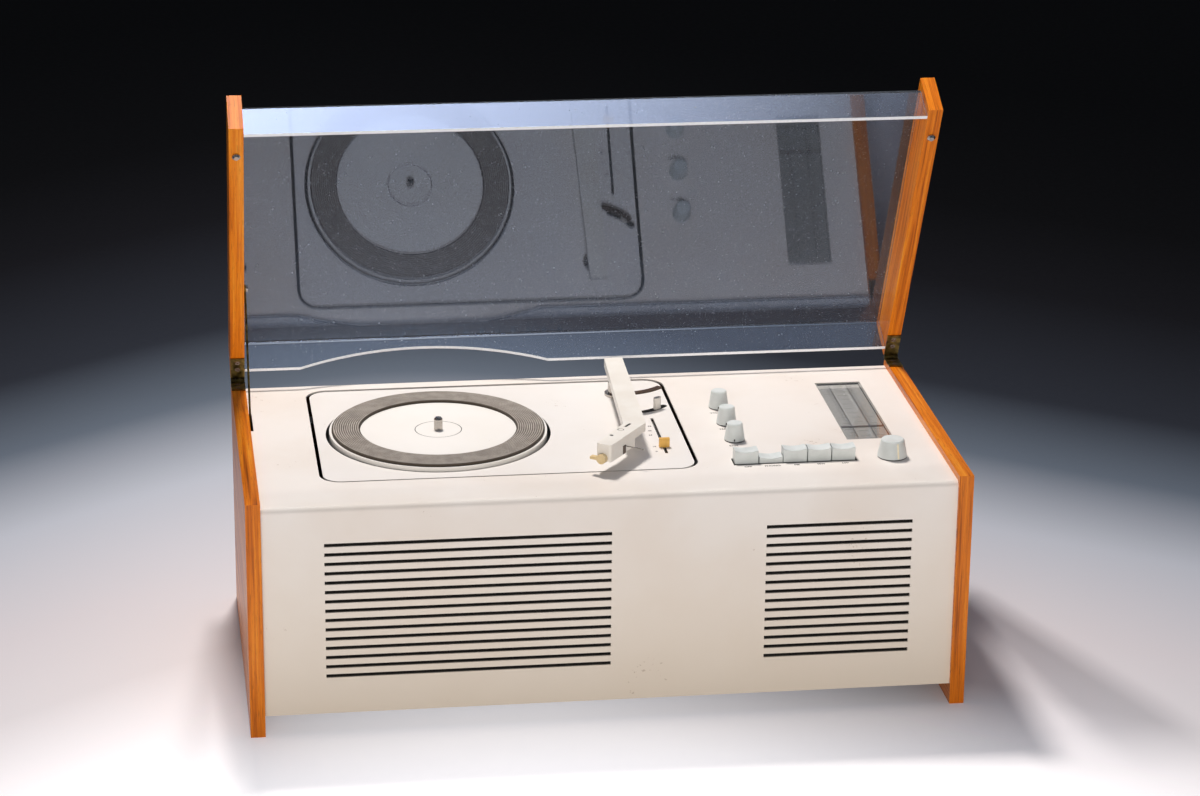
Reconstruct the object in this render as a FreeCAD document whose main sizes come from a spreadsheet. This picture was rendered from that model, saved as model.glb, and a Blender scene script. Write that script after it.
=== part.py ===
"""Table radiogram: wooden side panels, bent steel housing, record player and radio under a clear hinged lid.

Frame: +X right, +Y to the rear, +Z up. The origin lies on the floor, under the middle of the
box round the set with its lid open. Depths are counted from the front edge of the side panels.
"""
import FreeCAD
import Part
import Sketcher
import os
import re

Vector = FreeCAD.Vector

SIZES = {
    # side panels, which are also the feet
    "cabinet_width": 584.0,
    "panel_depth": 290.0,
    "panel_height": 200.0,
    "panel_thickness": 12.0,
    # bent sheet housing: deck, front and flanges
    "deck_drop": 5.5,
    "sheet_thickness": 1.5,
    "front_setback": 3.0,
    "rear_setback": 2.0,
    "skirt_height": 17.0,
    "bend_radius": 5.0,
    "bottom_flange": 16.0,
    "rear_flange": 12.0,
    # front grilles
    "left_grille_share": -0.2067,
    "left_grille_width": 229.5,
    "right_grille_share": 0.3284,
    "right_grille_width": 119.4,
    "grille_pitch": 8.03,
    "grille_slot_height": 3.0,
    "cloth_margin": 8.0,
    "cloth_thickness": 0.6,
    # floor plate and rear board
    "base_thickness": 2.0,
    "rear_board_thickness": 4.0,
    "vent_width": 5.0,
    "vent_height": 60.0,
    "vent_pitch": 14.0,
    "vent_first": -150.0,
    "vent_bottom": 90.0,
    "board_screw_inset": 14.0,
    "board_screw_radius": 1.5,
    "board_screw_head_radius": 3.5,
    "board_screw_head_height": 1.6,
    "board_screw_length": 5.5,
    # rear connections
    "grommet_from_right": 60.0,
    "grommet_height": 48.0,
    "grommet_bore_radius": 3.5,
    "grommet_neck_radius": 5.5,
    "grommet_flange_radius": 8.0,
    "grommet_flange_thickness": 2.0,
    "strip_from_right": 160.0,
    "strip_length": 96.0,
    "strip_height": 22.0,
    "strip_bottom": 38.0,
    "strip_thickness": 3.0,
    "strip_socket_radius": 2.0,
    "strip_socket_pitch": 14.0,
    "strip_margin": 5.0,
    # loudspeaker
    "speaker_radius": 62.0,
    "speaker_flange": 12.0,
    "speaker_flange_thickness": 3.0,
    "speaker_depth": 40.0,
    "speaker_neck_radius": 26.0,
    "speaker_wall": 1.5,
    "cone_thickness": 0.9,
    "cone_neck_radius": 12.0,
    "cone_depth": 30.0,
    "magnet_radius": 30.0,
    "magnet_length": 26.0,
    # radio chassis and what stands on it
    "chassis_wall_gap": 12.0,
    "chassis_width": 168.0,
    "chassis_from_rear": 35.0,
    "chassis_depth": 160.0,
    "chassis_height": 45.0,
    "transformer_inset": 10.0,
    "transformer_back": 16.0,
    "transformer_length": 50.0,
    "transformer_depth": 34.0,
    "transformer_height": 52.0,
    "winding_bulge": 8.0,
    "winding_height": 32.0,
    "output_inset": 12.0,
    "output_back": 13.0,
    "output_length": 38.0,
    "output_depth": 24.0,
    "output_height": 30.0,
    "valve_inset": 16.0,
    "valve_pitch": 24.0,
    "valve_back": 33.0,
    "valve_base_radius": 10.0,
    "valve_base_height": 9.0,
    "valve_bulb_radius": 9.0,
    "valve_bulb_height": 40.0,
    "valve_tip_height": 8.0,
    "valve_tip_radius": 3.0,
    "tuner_inset": 90.0,
    "tuner_back": 17.0,
    "tuner_length": 48.0,
    "tuner_depth": 40.0,
    "tuner_height": 38.0,
    "tuner_plate": 2.0,
    "tuner_vane": 1.2,
    # control knobs and their potentiometers
    "knob_column_share": 0.2089,
    "knob_first_from_front": 118.0,
    "knob_pitch": 39.8,
    "knob_gap": 0.8,
    "knob_base_radius": 8.5,
    "knob_top_radius": 6.5,
    "knob_height": 14.5,
    "knob_edge": 0.8,
    "shaft_radius": 3.0,
    "pot_radius": 12.0,
    "pot_height": 14.0,
    "pot_floor": 2.0,
    "bush_radius": 4.5,
    "tuning_share": 0.4268,
    "tuning_from_front": 66.0,
    "tuning_base_radius": 12.3,
    "tuning_top_radius": 9.5,
    "tuning_bush_length": 14.0,
    "tuning_drum_radius": 8.0,
    "tuning_drum_height": 6.0,
    # push buttons
    "button_slot_share": 0.2814,
    "button_slot_width": 102.2,
    "button_slot_from_front": 59.0,
    "button_slot_depth": 16.0,
    "button_pitch": 20.1,
    "button_width": 19.1,
    "button_depth": 12.0,
    "button_front_gap": 3.0,
    "button_rise": 11.0,
    "button_travel": 6.0,
    "button_skirt": 8.0,
    "button_dish": 1.6,
    "button_edge": 1.2,
    "stem_width": 8.0,
    "stem_depth": 5.0,
    "stem_length": 28.0,
    "bank_gap": 0.6,
    "bank_height": 24.0,
    "bank_depth": 20.0,
    "bank_arm": 5.0,
    # tuning dial
    "dial_share": 0.4103,
    "dial_width": 39.5,
    "dial_from_front": 108.0,
    "dial_from_rear": 41.0,
    "dial_margin": 6.0,
    "dial_lip": 1.5,
    "dial_well": 1.5,
    "dial_recess": 0.3,
    "scale_thickness": 1.2,
    "pointer_from_front": 142.0,
    "pointer_thickness": 1.2,
    "pointer_height": 0.9,
    # turntable plate and its spring mounts
    "opening_left_share": -0.4098,
    "opening_right_share": 0.1411,
    "opening_from_front": 56.0,
    "opening_from_rear": 14.0,
    "opening_corner_radius": 18.0,
    "plate_gap": 3.0,
    "plate_drop": 0.4,
    "plate_thickness": 2.0,
    "bracket_offset": 2.0,
    "bracket_flange": 12.0,
    "bracket_foot": 21.5,
    "bracket_width": 16.0,
    "bracket_drop": 14.0,
    "mount_inset": 10.0,
    "mount_radius": 5.0,
    # platter
    "platter_share": -0.2232,
    "platter_ahead": 2.5,
    "platter_radius": 90.5,
    "platter_gap": 0.8,
    "platter_thickness": 2.0,
    "platter_skirt": 6.0,
    "platter_wall": 2.0,
    "well_gap": 3.0,
    "well_depth": 8.0,
    "mat_margin": 2.0,
    "mat_inner_radius": 65.0,
    "mat_thickness": 2.5,
    "centre_groove_radius": 19.0,
    "centre_groove_width": 0.7,
    "centre_groove_depth": 0.5,
    # spindle, bearing and drive
    "spindle_radius": 3.6,
    "spindle_rise": 12.9,
    "spindle_tip": 1.5,
    "spindle_tip_radius": 2.6,
    "bearing_flange_radius": 16.0,
    "bearing_flange_thickness": 2.5,
    "bearing_radius": 8.0,
    "bearing_boss_radius": 5.7,
    "bearing_length": 24.0,
    "plate_hole_radius": 6.0,
    "drum_radius": 34.0,
    "drum_height": 10.0,
    "drum_gap": 1.0,
    "idler_radius": 14.0,
    "idler_height": 6.0,
    "idler_pin_radius": 2.0,
    "idler_stud_radius": 4.5,
    "drive_gap": 0.3,
    "pulley_radius": 3.0,
    "motor_shaft_radius": 1.5,
    "motor_shaft_depth": 10.0,
    "motor_radius": 32.0,
    "motor_height": 36.0,
    "motor_gap": 9.0,
    "motor_post_radius": 3.0,
    "motor_post_circle": 26.0,
    # speed selector
    "speed_slot_share": 0.1011,
    "speed_slot_width": 2.6,
    "speed_slot_from_front": 93.9,
    "speed_slot_length": 84.0,
    "speed_cap_from_front": 108.6,
    "speed_cap_width": 8.6,
    "speed_cap_depth": 3.4,
    "speed_cap_height": 7.4,
    "speed_cap_gap": 0.4,
    "speed_stem_depth": 6.0,
    "speed_strip_width": 10.0,
    "speed_strip_thickness": 1.2,
    "speed_strip_behind": 70.0,
    "speed_strip_ahead": 15.0,
    # tonearm
    "arm_pivot_share": 0.0634,
    "arm_pivot_from_rear": 50.0,
    "arm_rise": 25.0,
    "arm_thickness": 7.5,
    "arm_rear_length": 23.0,
    "arm_rear_width": 15.8,
    "arm_elbow_reach": 140.6,
    "arm_elbow_shift": 5.3,
    "arm_elbow_width": 18.6,
    "head_shift": 31.9,
    "head_reach": 46.4,
    "arm_tip_width": 13.3,
    "arm_edge": 1.0,
    "head_edge": 2.2,
    "head_angle": 37.0,
    "head_length": 20.4,
    "head_height": 14.5,
    "head_slot_length": 9.0,
    "head_slot_width": 2.2,
    "head_mark_across": -4.7,
    "head_slot_back": 49.0,
    "head_ring_back": 37.0,
    "head_ring_radius": 2.7,
    "head_ring_width": 0.7,
    "head_hole_back": 21.7,
    "head_hole_radius": 1.7,
    "head_recess": 1.2,
    "arm_axis_drop": 4.5,
    "axle_radius": 1.0,
    "pocket_width": 12.0,
    "pocket_length": 19.0,
    "pocket_depth": 6.0,
    "ear_thickness": 1.5,
    "ear_length": 6.0,
    "ear_above_axis": 1.6,
    "ear_gap": 0.5,
    "yoke_radius": 7.0,
    "yoke_thickness": 2.2,
    "pillar_radius": 7.6,
    "pillar_rise": 11.0,
    "pillar_flange_radius": 10.5,
    "pillar_flange_thickness": 2.0,
    "pillar_pin_radius": 2.0,
    "rest_radius": 45.5,
    "rest_width": 5.0,
    "rest_thickness": 1.5,
    "rest_rise": 17.2,
    "rest_start_angle": 262.0,
    "rest_sweep_angle": 53.0,
    "rest_post_radius": 2.6,
    "cartridge_length": 5.6,
    "cartridge_width": 12.9,
    "holder_length": 17.0,
    "holder_width": 11.0,
    "stylus_length": 4.0,
    "stylus_radius": 0.9,
    "stylus_point_radius": 0.15,
    "turnover_radius": 4.0,
    "turnover_length": 4.5,
    "turnover_rise": 13.2,
    "turnover_pin_radius": 1.0,
    "turnover_pin_length": 8.0,
    "finger_length": 10.0,
    "finger_height": 2.2,
    # lid
    "lid_open_angle": 63.0,
    "lid_gap": 3.0,
    "cheek_height": 40.0,
    "cover_rise": 34.5,
    "cover_front_inset": 6.6,
    "cover_rear_inset": 8.7,
    "cover_thickness": 3.0,
    "cover_bend_radius": 4.0,
    "cover_lift": 0.5,
    "cover_side_gap": 0.2,
    "notch_radius": 300.0,
    "notch_depth": 19.75,
    # butt hinges
    "knuckle_radius": 2.5,
    "knuckle_gap": 0.2,
    "hinge_pin_radius": 1.0,
    "leaf_thickness": 1.2,
    "lower_leaf_length": 22.0,
    "upper_leaf_length": 26.0,
    "hinge_screw_pitch": 8.0,
    "hinge_screw_edge": 5.0,
    "hinge_screw_head_radius": 2.3,
    "hinge_screw_head_height": 0.8,
    "hinge_screw_radius": 1.3,
    "hinge_screw_length": 11.0,
    "screw_slot_width": 0.6,
    "screw_slot_depth": 0.4,
    "bumper_from_front": 30.0,
    "bumper_radius": 3.4,
    "bumper_crown_radius": 2.0,
    "bumper_crown": 1.5,
    "bumper_clear": 0.2,
    # lid stay
    "stay_pivot_reach": 90.0,
    "stay_pivot_rise": 20.0,
    "stay_offset": 1.5,
    "stay_rod_radius": 0.9,
    "stay_eye_radius": 3.4,
    "stay_eye_thickness": 1.6,
    "stay_length": 120.0,
    "stay_lean": 26.0,
    "stay_screw_radius": 1.5,
    "stay_screw_head_radius": 3.2,
    "stay_screw_head_height": 1.4,
    "stay_screw_depth": 8.0,
    "stay_slot_width": 2.6,
    "stay_slot_from_rear": 67.0,
    "stay_slot_length": 41.0,
    # fits
    "running_clearance": 0.05,
    "seat_clearance": 0.02,
    "sliding_clearance": 0.2,
    "knuckle_clearance": 0.3,
    "overrun": 1.0,
}

GRILLE_SLOTS = 15
VENTS = 12
BUTTONS = 5
PRESSED_BUTTON = 2
STRIP_SOCKETS = 6
VALVES = 3
TUNER_VANES = 6
BRACKET_SHARES = (0.15, 0.85)
BOARD_SCREW_SHARES = (0.06, 0.5, 0.94)
MOTOR_POST_ANGLES = (60, 120, 240, 300)
KNOB_NAMES = ("bass_knob", "treble_knob", "volume_knob")

doc = FreeCAD.newDocument("radiogram")
sheet = doc.addObject("Spreadsheet::Sheet", "Sizes")
for row, (alias, size) in enumerate(SIZES.items(), start=1):
    sheet.set(f"A{row}", alias)
    sheet.set(f"B{row}", str(size))
    sheet.setAlias(f"B{row}", alias)
doc.recompute()

# Reference levels and edges that several pieces share
LID_HEIGHT = "(lid_gap / 2 + cheek_height)"
FRONT = f"(-(panel_depth + {LID_HEIGHT} * sin(lid_open_angle)) / 2)"
REAR = f"({FRONT} + panel_depth)"
SIDE = "(cabinet_width / 2)"
INSIDE = "(cabinet_width / 2 - panel_thickness)"
INNER_WIDTH = "(cabinet_width - 2 * panel_thickness)"
DECK = "(panel_height - deck_drop)"
UNDER_DECK = f"({DECK} - sheet_thickness)"
FRONT_FACE = f"({FRONT} + front_setback)"
BEHIND_FRONT = f"({FRONT_FACE} + sheet_thickness)"
SHELL_DEPTH = "(panel_depth - front_setback - rear_setback)"
BASE_TOP = "(skirt_height + sheet_thickness + base_thickness)"
BOARD_REAR = f"({REAR} - rear_setback - sheet_thickness)"
BOARD_FRONT = f"({BOARD_REAR} - rear_board_thickness)"
GRILLE_MIDDLE = f"((skirt_height + {DECK}) / 2)"
PLATE_TOP = f"({DECK} - plate_drop)"
PLATE_UNDER = f"({PLATE_TOP} - plate_thickness)"
WELL_UNDER = f"({PLATE_UNDER} - well_depth)"
OPENING_LEFT = f"(opening_left_share * {INNER_WIDTH})"
OPENING_RIGHT = f"(opening_right_share * {INNER_WIDTH})"
OPENING_FRONT = f"({FRONT} + opening_from_front)"
OPENING_REAR = f"({REAR} - opening_from_rear)"
HINGE_HEIGHT = "(panel_height + lid_gap / 2)"
PLATTER_X = f"(platter_share * {INNER_WIDTH})"
PLATTER_Y = f"(({OPENING_FRONT} + {OPENING_REAR}) / 2 - platter_ahead)"
PIVOT_X = f"(arm_pivot_share * {INNER_WIDTH})"
PIVOT_Y = f"({REAR} - arm_pivot_from_rear)"
ARM_TOP = f"({DECK} + arm_rise)"
ARM_UNDER = f"({ARM_TOP} - arm_thickness)"
ARM_AXIS = f"({ARM_TOP} - arm_axis_drop)"

nodes = {}


def ex(text):
    """Point every size named in the text at its cell in the sheet."""
    return re.sub(r"[a-z_]+", lambda word: f"Sizes.{word[0]}" if word[0] in SIZES else word[0], text)


def value(text):
    return float(sheet.evalExpression(ex(text)))


def bind(item, **sizes):
    for name, text in sizes.items():
        item.setExpression(name, ex(text))
    return item


def place(item, x, y, z):
    for name, text in (("x", x), ("y", y), ("z", z)):
        item.setExpression(f"Placement.Base.{name}", ex(text))
    return item


def rotate(item, axis, angle):
    """Turn an item about an axis through its own origin by an angle from the sheet."""
    item.Placement = FreeCAD.Placement(Vector(), FreeCAD.Rotation(Vector(*axis), value(angle)))
    item.setExpression("Placement.Rotation.Angle", ex(angle))
    return item


def point_along(item, axis):
    """Lay an upright round item along X or Y."""
    turns = {"X": FreeCAD.Rotation(Vector(0, 1, 0), 90), "Y": FreeCAD.Rotation(Vector(1, 0, 0), -90)}
    if axis in turns:
        item.Placement = FreeCAD.Placement(Vector(), turns[axis])
    return item


def box(label, x, y, z, length, width, height):
    item = bind(doc.addObject("Part::Box", label), Length=length, Width=width, Height=height)
    return place(item, x, y, z)


def cylinder(label, x, y, z, radius, height, axis="Z"):
    item = bind(doc.addObject("Part::Cylinder", label), Radius=radius, Height=height)
    return place(point_along(item, axis), x, y, z)


def cone(label, x, y, z, bottom_radius, top_radius, height):
    item = doc.addObject("Part::Cone", label)
    return place(bind(item, Radius1=bottom_radius, Radius2=top_radius, Height=height), x, y, z)


def fuse(label, *pieces):
    item = doc.addObject("Part::MultiFuse", label)
    item.Shapes = list(pieces)
    item.Refine = True
    return item


def group(label, *pieces):
    item = doc.addObject("Part::Compound", label)
    item.Links = list(pieces)
    return item


def cut(label, base, *tools):
    item = doc.addObject("Part::Cut", label)
    item.Base = base
    item.Tool = tools[0] if len(tools) == 1 else fuse(f"{label}_cutters", *tools)
    item.Refine = True
    return item


def outline(body, plane, corners):
    """Closed sketch of straight lines; each corner is a pair of sizes measured from the origin."""
    sketch = body.newObject("Sketcher::SketchObject", f"{body.Name}_outline")
    support = next(item for item in body.Origin.OriginFeatures if item.Role == plane)
    sketch.AttachmentSupport = (support, [""])
    sketch.MapMode = "FlatFace"
    points = [Vector(value(across), value(along), 0) for across, along in corners]
    for number, point in enumerate(points):
        sketch.addGeometry(Part.LineSegment(point, points[(number + 1) % len(points)]), False)
    for number, corner in enumerate(corners):
        following = (number + 1) % len(corners)
        sketch.addConstraint(Sketcher.Constraint("Coincident", number, 2, following, 1))
        for kind, text, start, axis in zip(("DistanceX", "DistanceY"), corner, points[number], (-2, -1)):
            if text == "0":
                sketch.addConstraint(Sketcher.Constraint("PointOnObject", number, 1, axis))
                continue
            datum = sketch.addConstraint(Sketcher.Constraint(kind, -1, 1, number, 1, start))
            sketch.setExpression(f"Constraints[{datum}]", ex(text))
    return sketch, points


def prism(label, plane, corners, depth, rounds=()):
    """Pad an outline; rounds pairs the numbers of corners with the radius that rounds them."""
    body = doc.addObject("PartDesign::Body", label)
    sketch, points = outline(body, plane, corners)
    feature = body.newObject("PartDesign::Pad", f"{label}_pad")
    feature.Profile = sketch
    bind(feature, Length=depth)
    for chosen, radius in rounds:
        doc.recompute()
        feet = [sketch.Placement.multVec(points[number]) for number in chosen]
        normal = sketch.Placement.Rotation.multVec(Vector(0, 0, 1))
        names = []
        for number, edge in enumerate(feature.Shape.Edges, start=1):
            first, last = edge.Vertexes[0].Point, edge.Vertexes[-1].Point
            upright = (last - first).cross(normal).Length < 1e-6 < (last - first).Length
            if upright and any((first - foot).cross(normal).Length < 1e-6 for foot in feet):
                names.append(f"Edge{number}")
        rounded = body.newObject("PartDesign::Fillet", f"{label}_round")
        rounded.Base = (feature, names)
        feature = bind(rounded, Radius=radius)
    return body


def rounded_slab(label, left, right, front, rear, bottom, height, radius):
    corners = [(left, front), (right, front), (right, rear), (left, rear)]
    return place(prism(label, "XY_Plane", corners, height, [(range(4), radius)]), "0", "0", bottom)


def turned(label, profile, x, y, z, axis="Z"):
    """Revolve a profile of (radius, height) corners and stand it at a point."""
    body = doc.addObject("PartDesign::Body", label)
    sketch, _ = outline(body, "XZ_Plane", profile)
    spun = body.newObject("PartDesign::Revolution", f"{label}_spin")
    spun.Profile = sketch
    spun.ReferenceAxis = (sketch, ["V_Axis"])
    spun.Angle = 360
    return place(point_along(body, axis), x, y, z)


def node(label, item):
    """Keep an item as a sub-part under its own name."""
    item.Label = label
    nodes[label] = item
    return item


def slotted_screw(label, x, y, z, head_radius, head_height, radius, length, downwards):
    """Flush slotted screw; z is the face of its head."""
    head_z = f"({z} - {head_height})" if downwards else z
    shank_z = f"({z} - {length})" if downwards else f"({z} + {head_height})"
    slot_z = f"({z} - screw_slot_depth)" if downwards else f"({z} - overrun)"
    head = cylinder(f"{label}_head", x, y, head_z, head_radius, head_height)
    shank = cylinder(f"{label}_shank", x, y, shank_z, radius, f"{length} - {head_height}")
    slot = box(f"{label}_slot", f"{x} - {head_radius} - overrun", f"{y} - screw_slot_width / 2", slot_z,
               f"2 * {head_radius} + 2 * overrun", "screw_slot_width", "screw_slot_depth + overrun")
    return cut(f"{label}_screw", fuse(f"{label}_blank", head, shank), slot)


def screw_holes(label, x, y, z, head_radius, head_height, radius, length, downwards):
    """Counterbored hole that a flush screw drops into."""
    head_z = f"({z} - {head_height})" if downwards else f"({z} - overrun)"
    shank_z = f"({z} - {length} - seat_clearance)" if downwards else z
    return fuse(
        f"{label}_hole",
        cylinder(f"{label}_bore", x, y, shank_z, f"{radius} + seat_clearance", f"{length} + seat_clearance"),
        cylinder(f"{label}_sink", x, y, head_z, f"{head_radius} + seat_clearance",
                 f"{head_height} + overrun"))


# Hinge geometry, shared by the panels, the cheeks and the leaves on both sides
SIDES = {"left": f"(-{SIDE})", "right": INSIDE}
HINGE_SCREW = ("hinge_screw_head_radius", "hinge_screw_head_height", "hinge_screw_radius",
               "hinge_screw_length")
LOWER_SCREW_FACE = "(panel_height + leaf_thickness)"
UPPER_SCREW_FACE = "(lid_gap / 2 - leaf_thickness)"


def leaf_screw_places(x, hinge_y, leaf_length):
    """Two screws along the middle of a leaf, counted from its free end."""
    middle = f"({x} + panel_thickness / 2)"
    first = f"({hinge_y} - {leaf_length} + hinge_screw_edge)"
    return [(middle, first), (middle, f"({first} + hinge_screw_pitch)")]


def knuckle_room(label, x, y, z):
    return cylinder(label, f"{x} - overrun", y, z, "knuckle_radius + knuckle_clearance",
                    "panel_thickness + 2 * overrun", "X")


# Side panels: upright boards with a round notch for the hinge knuckle and holes for its screws
for side, x in SIDES.items():
    board = box(f"{side}_board", x, FRONT, "0", "panel_thickness", "panel_depth", "panel_height")
    bites = [knuckle_room(f"{side}_board_notch", x, REAR, HINGE_HEIGHT)]
    for number, (screw_x, screw_y) in enumerate(leaf_screw_places(x, REAR, "lower_leaf_length")):
        bites.append(screw_holes(f"{side}_board_{number}", screw_x, screw_y, LOWER_SCREW_FACE, *HINGE_SCREW,
                                 True))
    node(f"{side}_side_panel", cut(f"{side}_board_cut", board, *bites))

# Housing: one sheet bent into deck and front, with a foot flange and a rear flange
shell_profile = [
    ("0", "skirt_height"), ("0", DECK), (SHELL_DEPTH, DECK), (SHELL_DEPTH, f"{DECK} - rear_flange"),
    (f"{SHELL_DEPTH} - sheet_thickness", f"{DECK} - rear_flange"),
    (f"{SHELL_DEPTH} - sheet_thickness", UNDER_DECK), ("sheet_thickness", UNDER_DECK),
    ("sheet_thickness", "skirt_height + sheet_thickness"),
    ("bottom_flange", "skirt_height + sheet_thickness"), ("bottom_flange", "skirt_height")]
shell = prism("shell_sheet", "YZ_Plane", shell_profile, f"2 * {INSIDE}",
              [((1,), "bend_radius"), ((6,), "bend_radius - sheet_thickness")])
place(shell, f"-{INSIDE}", FRONT_FACE, "0")

DECK_CUT = (f"{UNDER_DECK} - overrun", "sheet_thickness + 2 * overrun")
openings = [rounded_slab("plate_opening", OPENING_LEFT, OPENING_RIGHT, OPENING_FRONT, OPENING_REAR,
                         *DECK_CUT, "opening_corner_radius")]
SLOT_MIDDLE = f"(button_slot_share * {INNER_WIDTH})"
openings.append(box("button_slot", f"{SLOT_MIDDLE} - button_slot_width / 2",
                    f"{FRONT} + button_slot_from_front", DECK_CUT[0],
                    "button_slot_width", "button_slot_depth", DECK_CUT[1]))
DIAL_LEFT = f"(dial_share * {INNER_WIDTH} - dial_width / 2)"
DIAL_FRONT = f"({FRONT} + dial_from_front)"
DIAL_LENGTH = "(panel_depth - dial_from_front - dial_from_rear)"
openings.append(box("dial_window", DIAL_LEFT, DIAL_FRONT, DECK_CUT[0], "dial_width", DIAL_LENGTH,
                    DECK_CUT[1]))
openings.append(box("stay_slot", f"-{INSIDE} + stay_offset - stay_slot_width / 2",
                    f"{REAR} - stay_slot_from_rear - stay_slot_length", DECK_CUT[0],
                    "stay_slot_width", "stay_slot_length", DECK_CUT[1]))
KNOB_PLACES = [(f"(knob_column_share * {INNER_WIDTH})",
                f"({FRONT} + knob_first_from_front + {number} * knob_pitch)")
               for number in range(len(KNOB_NAMES))]
TUNING_PLACE = (f"(tuning_share * {INNER_WIDTH})", f"({FRONT} + tuning_from_front)")
for number, (x, y) in enumerate(KNOB_PLACES + [TUNING_PLACE]):
    openings.append(cylinder(f"bush_hole_{number}", x, y, DECK_CUT[0], "bush_radius + seat_clearance",
                             DECK_CUT[1]))
GRILLE_SPAN = f"({GRILLE_SLOTS - 1} * grille_pitch)"
GRILLE_BOTTOM = f"({GRILLE_MIDDLE} - {GRILLE_SPAN} / 2)"
GRILLE_LEFTS = {side: f"({side}_grille_share * {INNER_WIDTH} - {side}_grille_width / 2)"
                for side in ("left", "right")}
for side, x in GRILLE_LEFTS.items():
    for number in range(GRILLE_SLOTS):
        openings.append(box(
            f"{side}_grille_{number}", x, f"{FRONT_FACE} - overrun",
            f"{GRILLE_BOTTOM} + {number} * grille_pitch - grille_slot_height / 2",
            f"{side}_grille_width", "sheet_thickness + 2 * overrun", "grille_slot_height"))
node("housing_shell", cut("shell_cut", shell, *openings))

# Grille cloths: black gauze pressed against the inside of the front
cloths = [box(f"{side}_cloth", f"{x} - cloth_margin", BEHIND_FRONT, f"{GRILLE_BOTTOM} - cloth_margin",
              f"{side}_grille_width + 2 * cloth_margin", "cloth_thickness",
              f"{GRILLE_SPAN} + 2 * cloth_margin") for side, x in GRILLE_LEFTS.items()]
node("grille_cloths", group("cloth_pair", *cloths))

# Floor plate: lies on the foot flange of the housing
node("base_plate", box("floor_sheet", f"-{INSIDE}", BEHIND_FRONT, f"{BASE_TOP} - base_thickness",
                       f"2 * {INSIDE}", f"{SHELL_DEPTH} - sheet_thickness", "base_thickness"))

# Rear board: stands on the floor plate inside the rear flange, with vents and room for the connections
board = box("rear_board", f"-{INSIDE}", BOARD_FRONT, BASE_TOP, f"2 * {INSIDE}", "rear_board_thickness",
            f"{UNDER_DECK} - {BASE_TOP}")
BOARD_CUT = (f"{BOARD_FRONT} - overrun", "rear_board_thickness + 2 * overrun")
bites = [box(f"vent_{number}", f"vent_first + {number} * vent_pitch", BOARD_CUT[0], "vent_bottom",
             "vent_width", BOARD_CUT[1], "vent_height") for number in range(VENTS)]
GROMMET_X = f"({INSIDE} - grommet_from_right)"
STRIP_X = f"({INSIDE} - strip_from_right)"
bites.append(cylinder("grommet_hole", GROMMET_X, BOARD_CUT[0], "grommet_height",
                      "grommet_neck_radius + seat_clearance", BOARD_CUT[1], "Y"))
bites.append(box("strip_window", f"{STRIP_X} - strip_length / 2 + strip_margin", BOARD_CUT[0],
                 "strip_bottom + strip_margin", "strip_length - 2 * strip_margin", BOARD_CUT[1],
                 "strip_height - 2 * strip_margin"))
screws = []
for number, share in enumerate(BOARD_SCREW_SHARES):
    for edge, z in (("low", f"({BASE_TOP} + board_screw_inset)"),
                    ("high", f"({DECK} - rear_flange - board_screw_inset)")):
        x = f"(-{INSIDE} + {share} * 2 * {INSIDE})"
        bites.append(cylinder(f"board_hole_{edge}_{number}", x, BOARD_CUT[0], z,
                              "board_screw_radius + seat_clearance", BOARD_CUT[1], "Y"))
        shank = cylinder(f"board_shank_{edge}_{number}", x, f"{BOARD_REAR} - board_screw_length", z,
                         "board_screw_radius", "board_screw_length", "Y")
        head = cylinder(f"board_head_{edge}_{number}", x, BOARD_REAR, z, "board_screw_head_radius",
                        "board_screw_head_height", "Y")
        screws.append(fuse(f"board_screw_{edge}_{number}", shank, head))
node("rear_board", cut("rear_board_cut", board, *bites))
node("rear_board_screws", group("board_screws", *screws))

# Rubber grommet for the mains lead
GROMMET_LENGTH = "(rear_board_thickness + 2 * grommet_flange_thickness)"
node("cord_grommet", turned("grommet", [
    ("grommet_bore_radius", "0"), ("grommet_flange_radius", "0"),
    ("grommet_flange_radius", "grommet_flange_thickness"),
    ("grommet_neck_radius", "grommet_flange_thickness"),
    ("grommet_neck_radius", f"{GROMMET_LENGTH} - grommet_flange_thickness"),
    ("grommet_flange_radius", f"{GROMMET_LENGTH} - grommet_flange_thickness"),
    ("grommet_flange_radius", GROMMET_LENGTH), ("grommet_bore_radius", GROMMET_LENGTH)],
    GROMMET_X, f"{BOARD_FRONT} - grommet_flange_thickness", "grommet_height", "Y"))

# Socket strip for aerial, pick-up and a second loudspeaker
strip = box("strip_plate", f"{STRIP_X} - strip_length / 2", BOARD_REAR, "strip_bottom",
            "strip_length", "strip_thickness", "strip_height")
sockets = [cylinder(f"strip_socket_{number}",
                    f"{STRIP_X} + ({number} - {(STRIP_SOCKETS - 1) / 2}) * strip_socket_pitch",
                    f"{BOARD_REAR} - overrun", "strip_bottom + strip_height / 2", "strip_socket_radius",
                    "strip_thickness + 2 * overrun", "Y") for number in range(STRIP_SOCKETS)]
node("socket_strip", cut("strip_cut", strip, *sockets))

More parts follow.
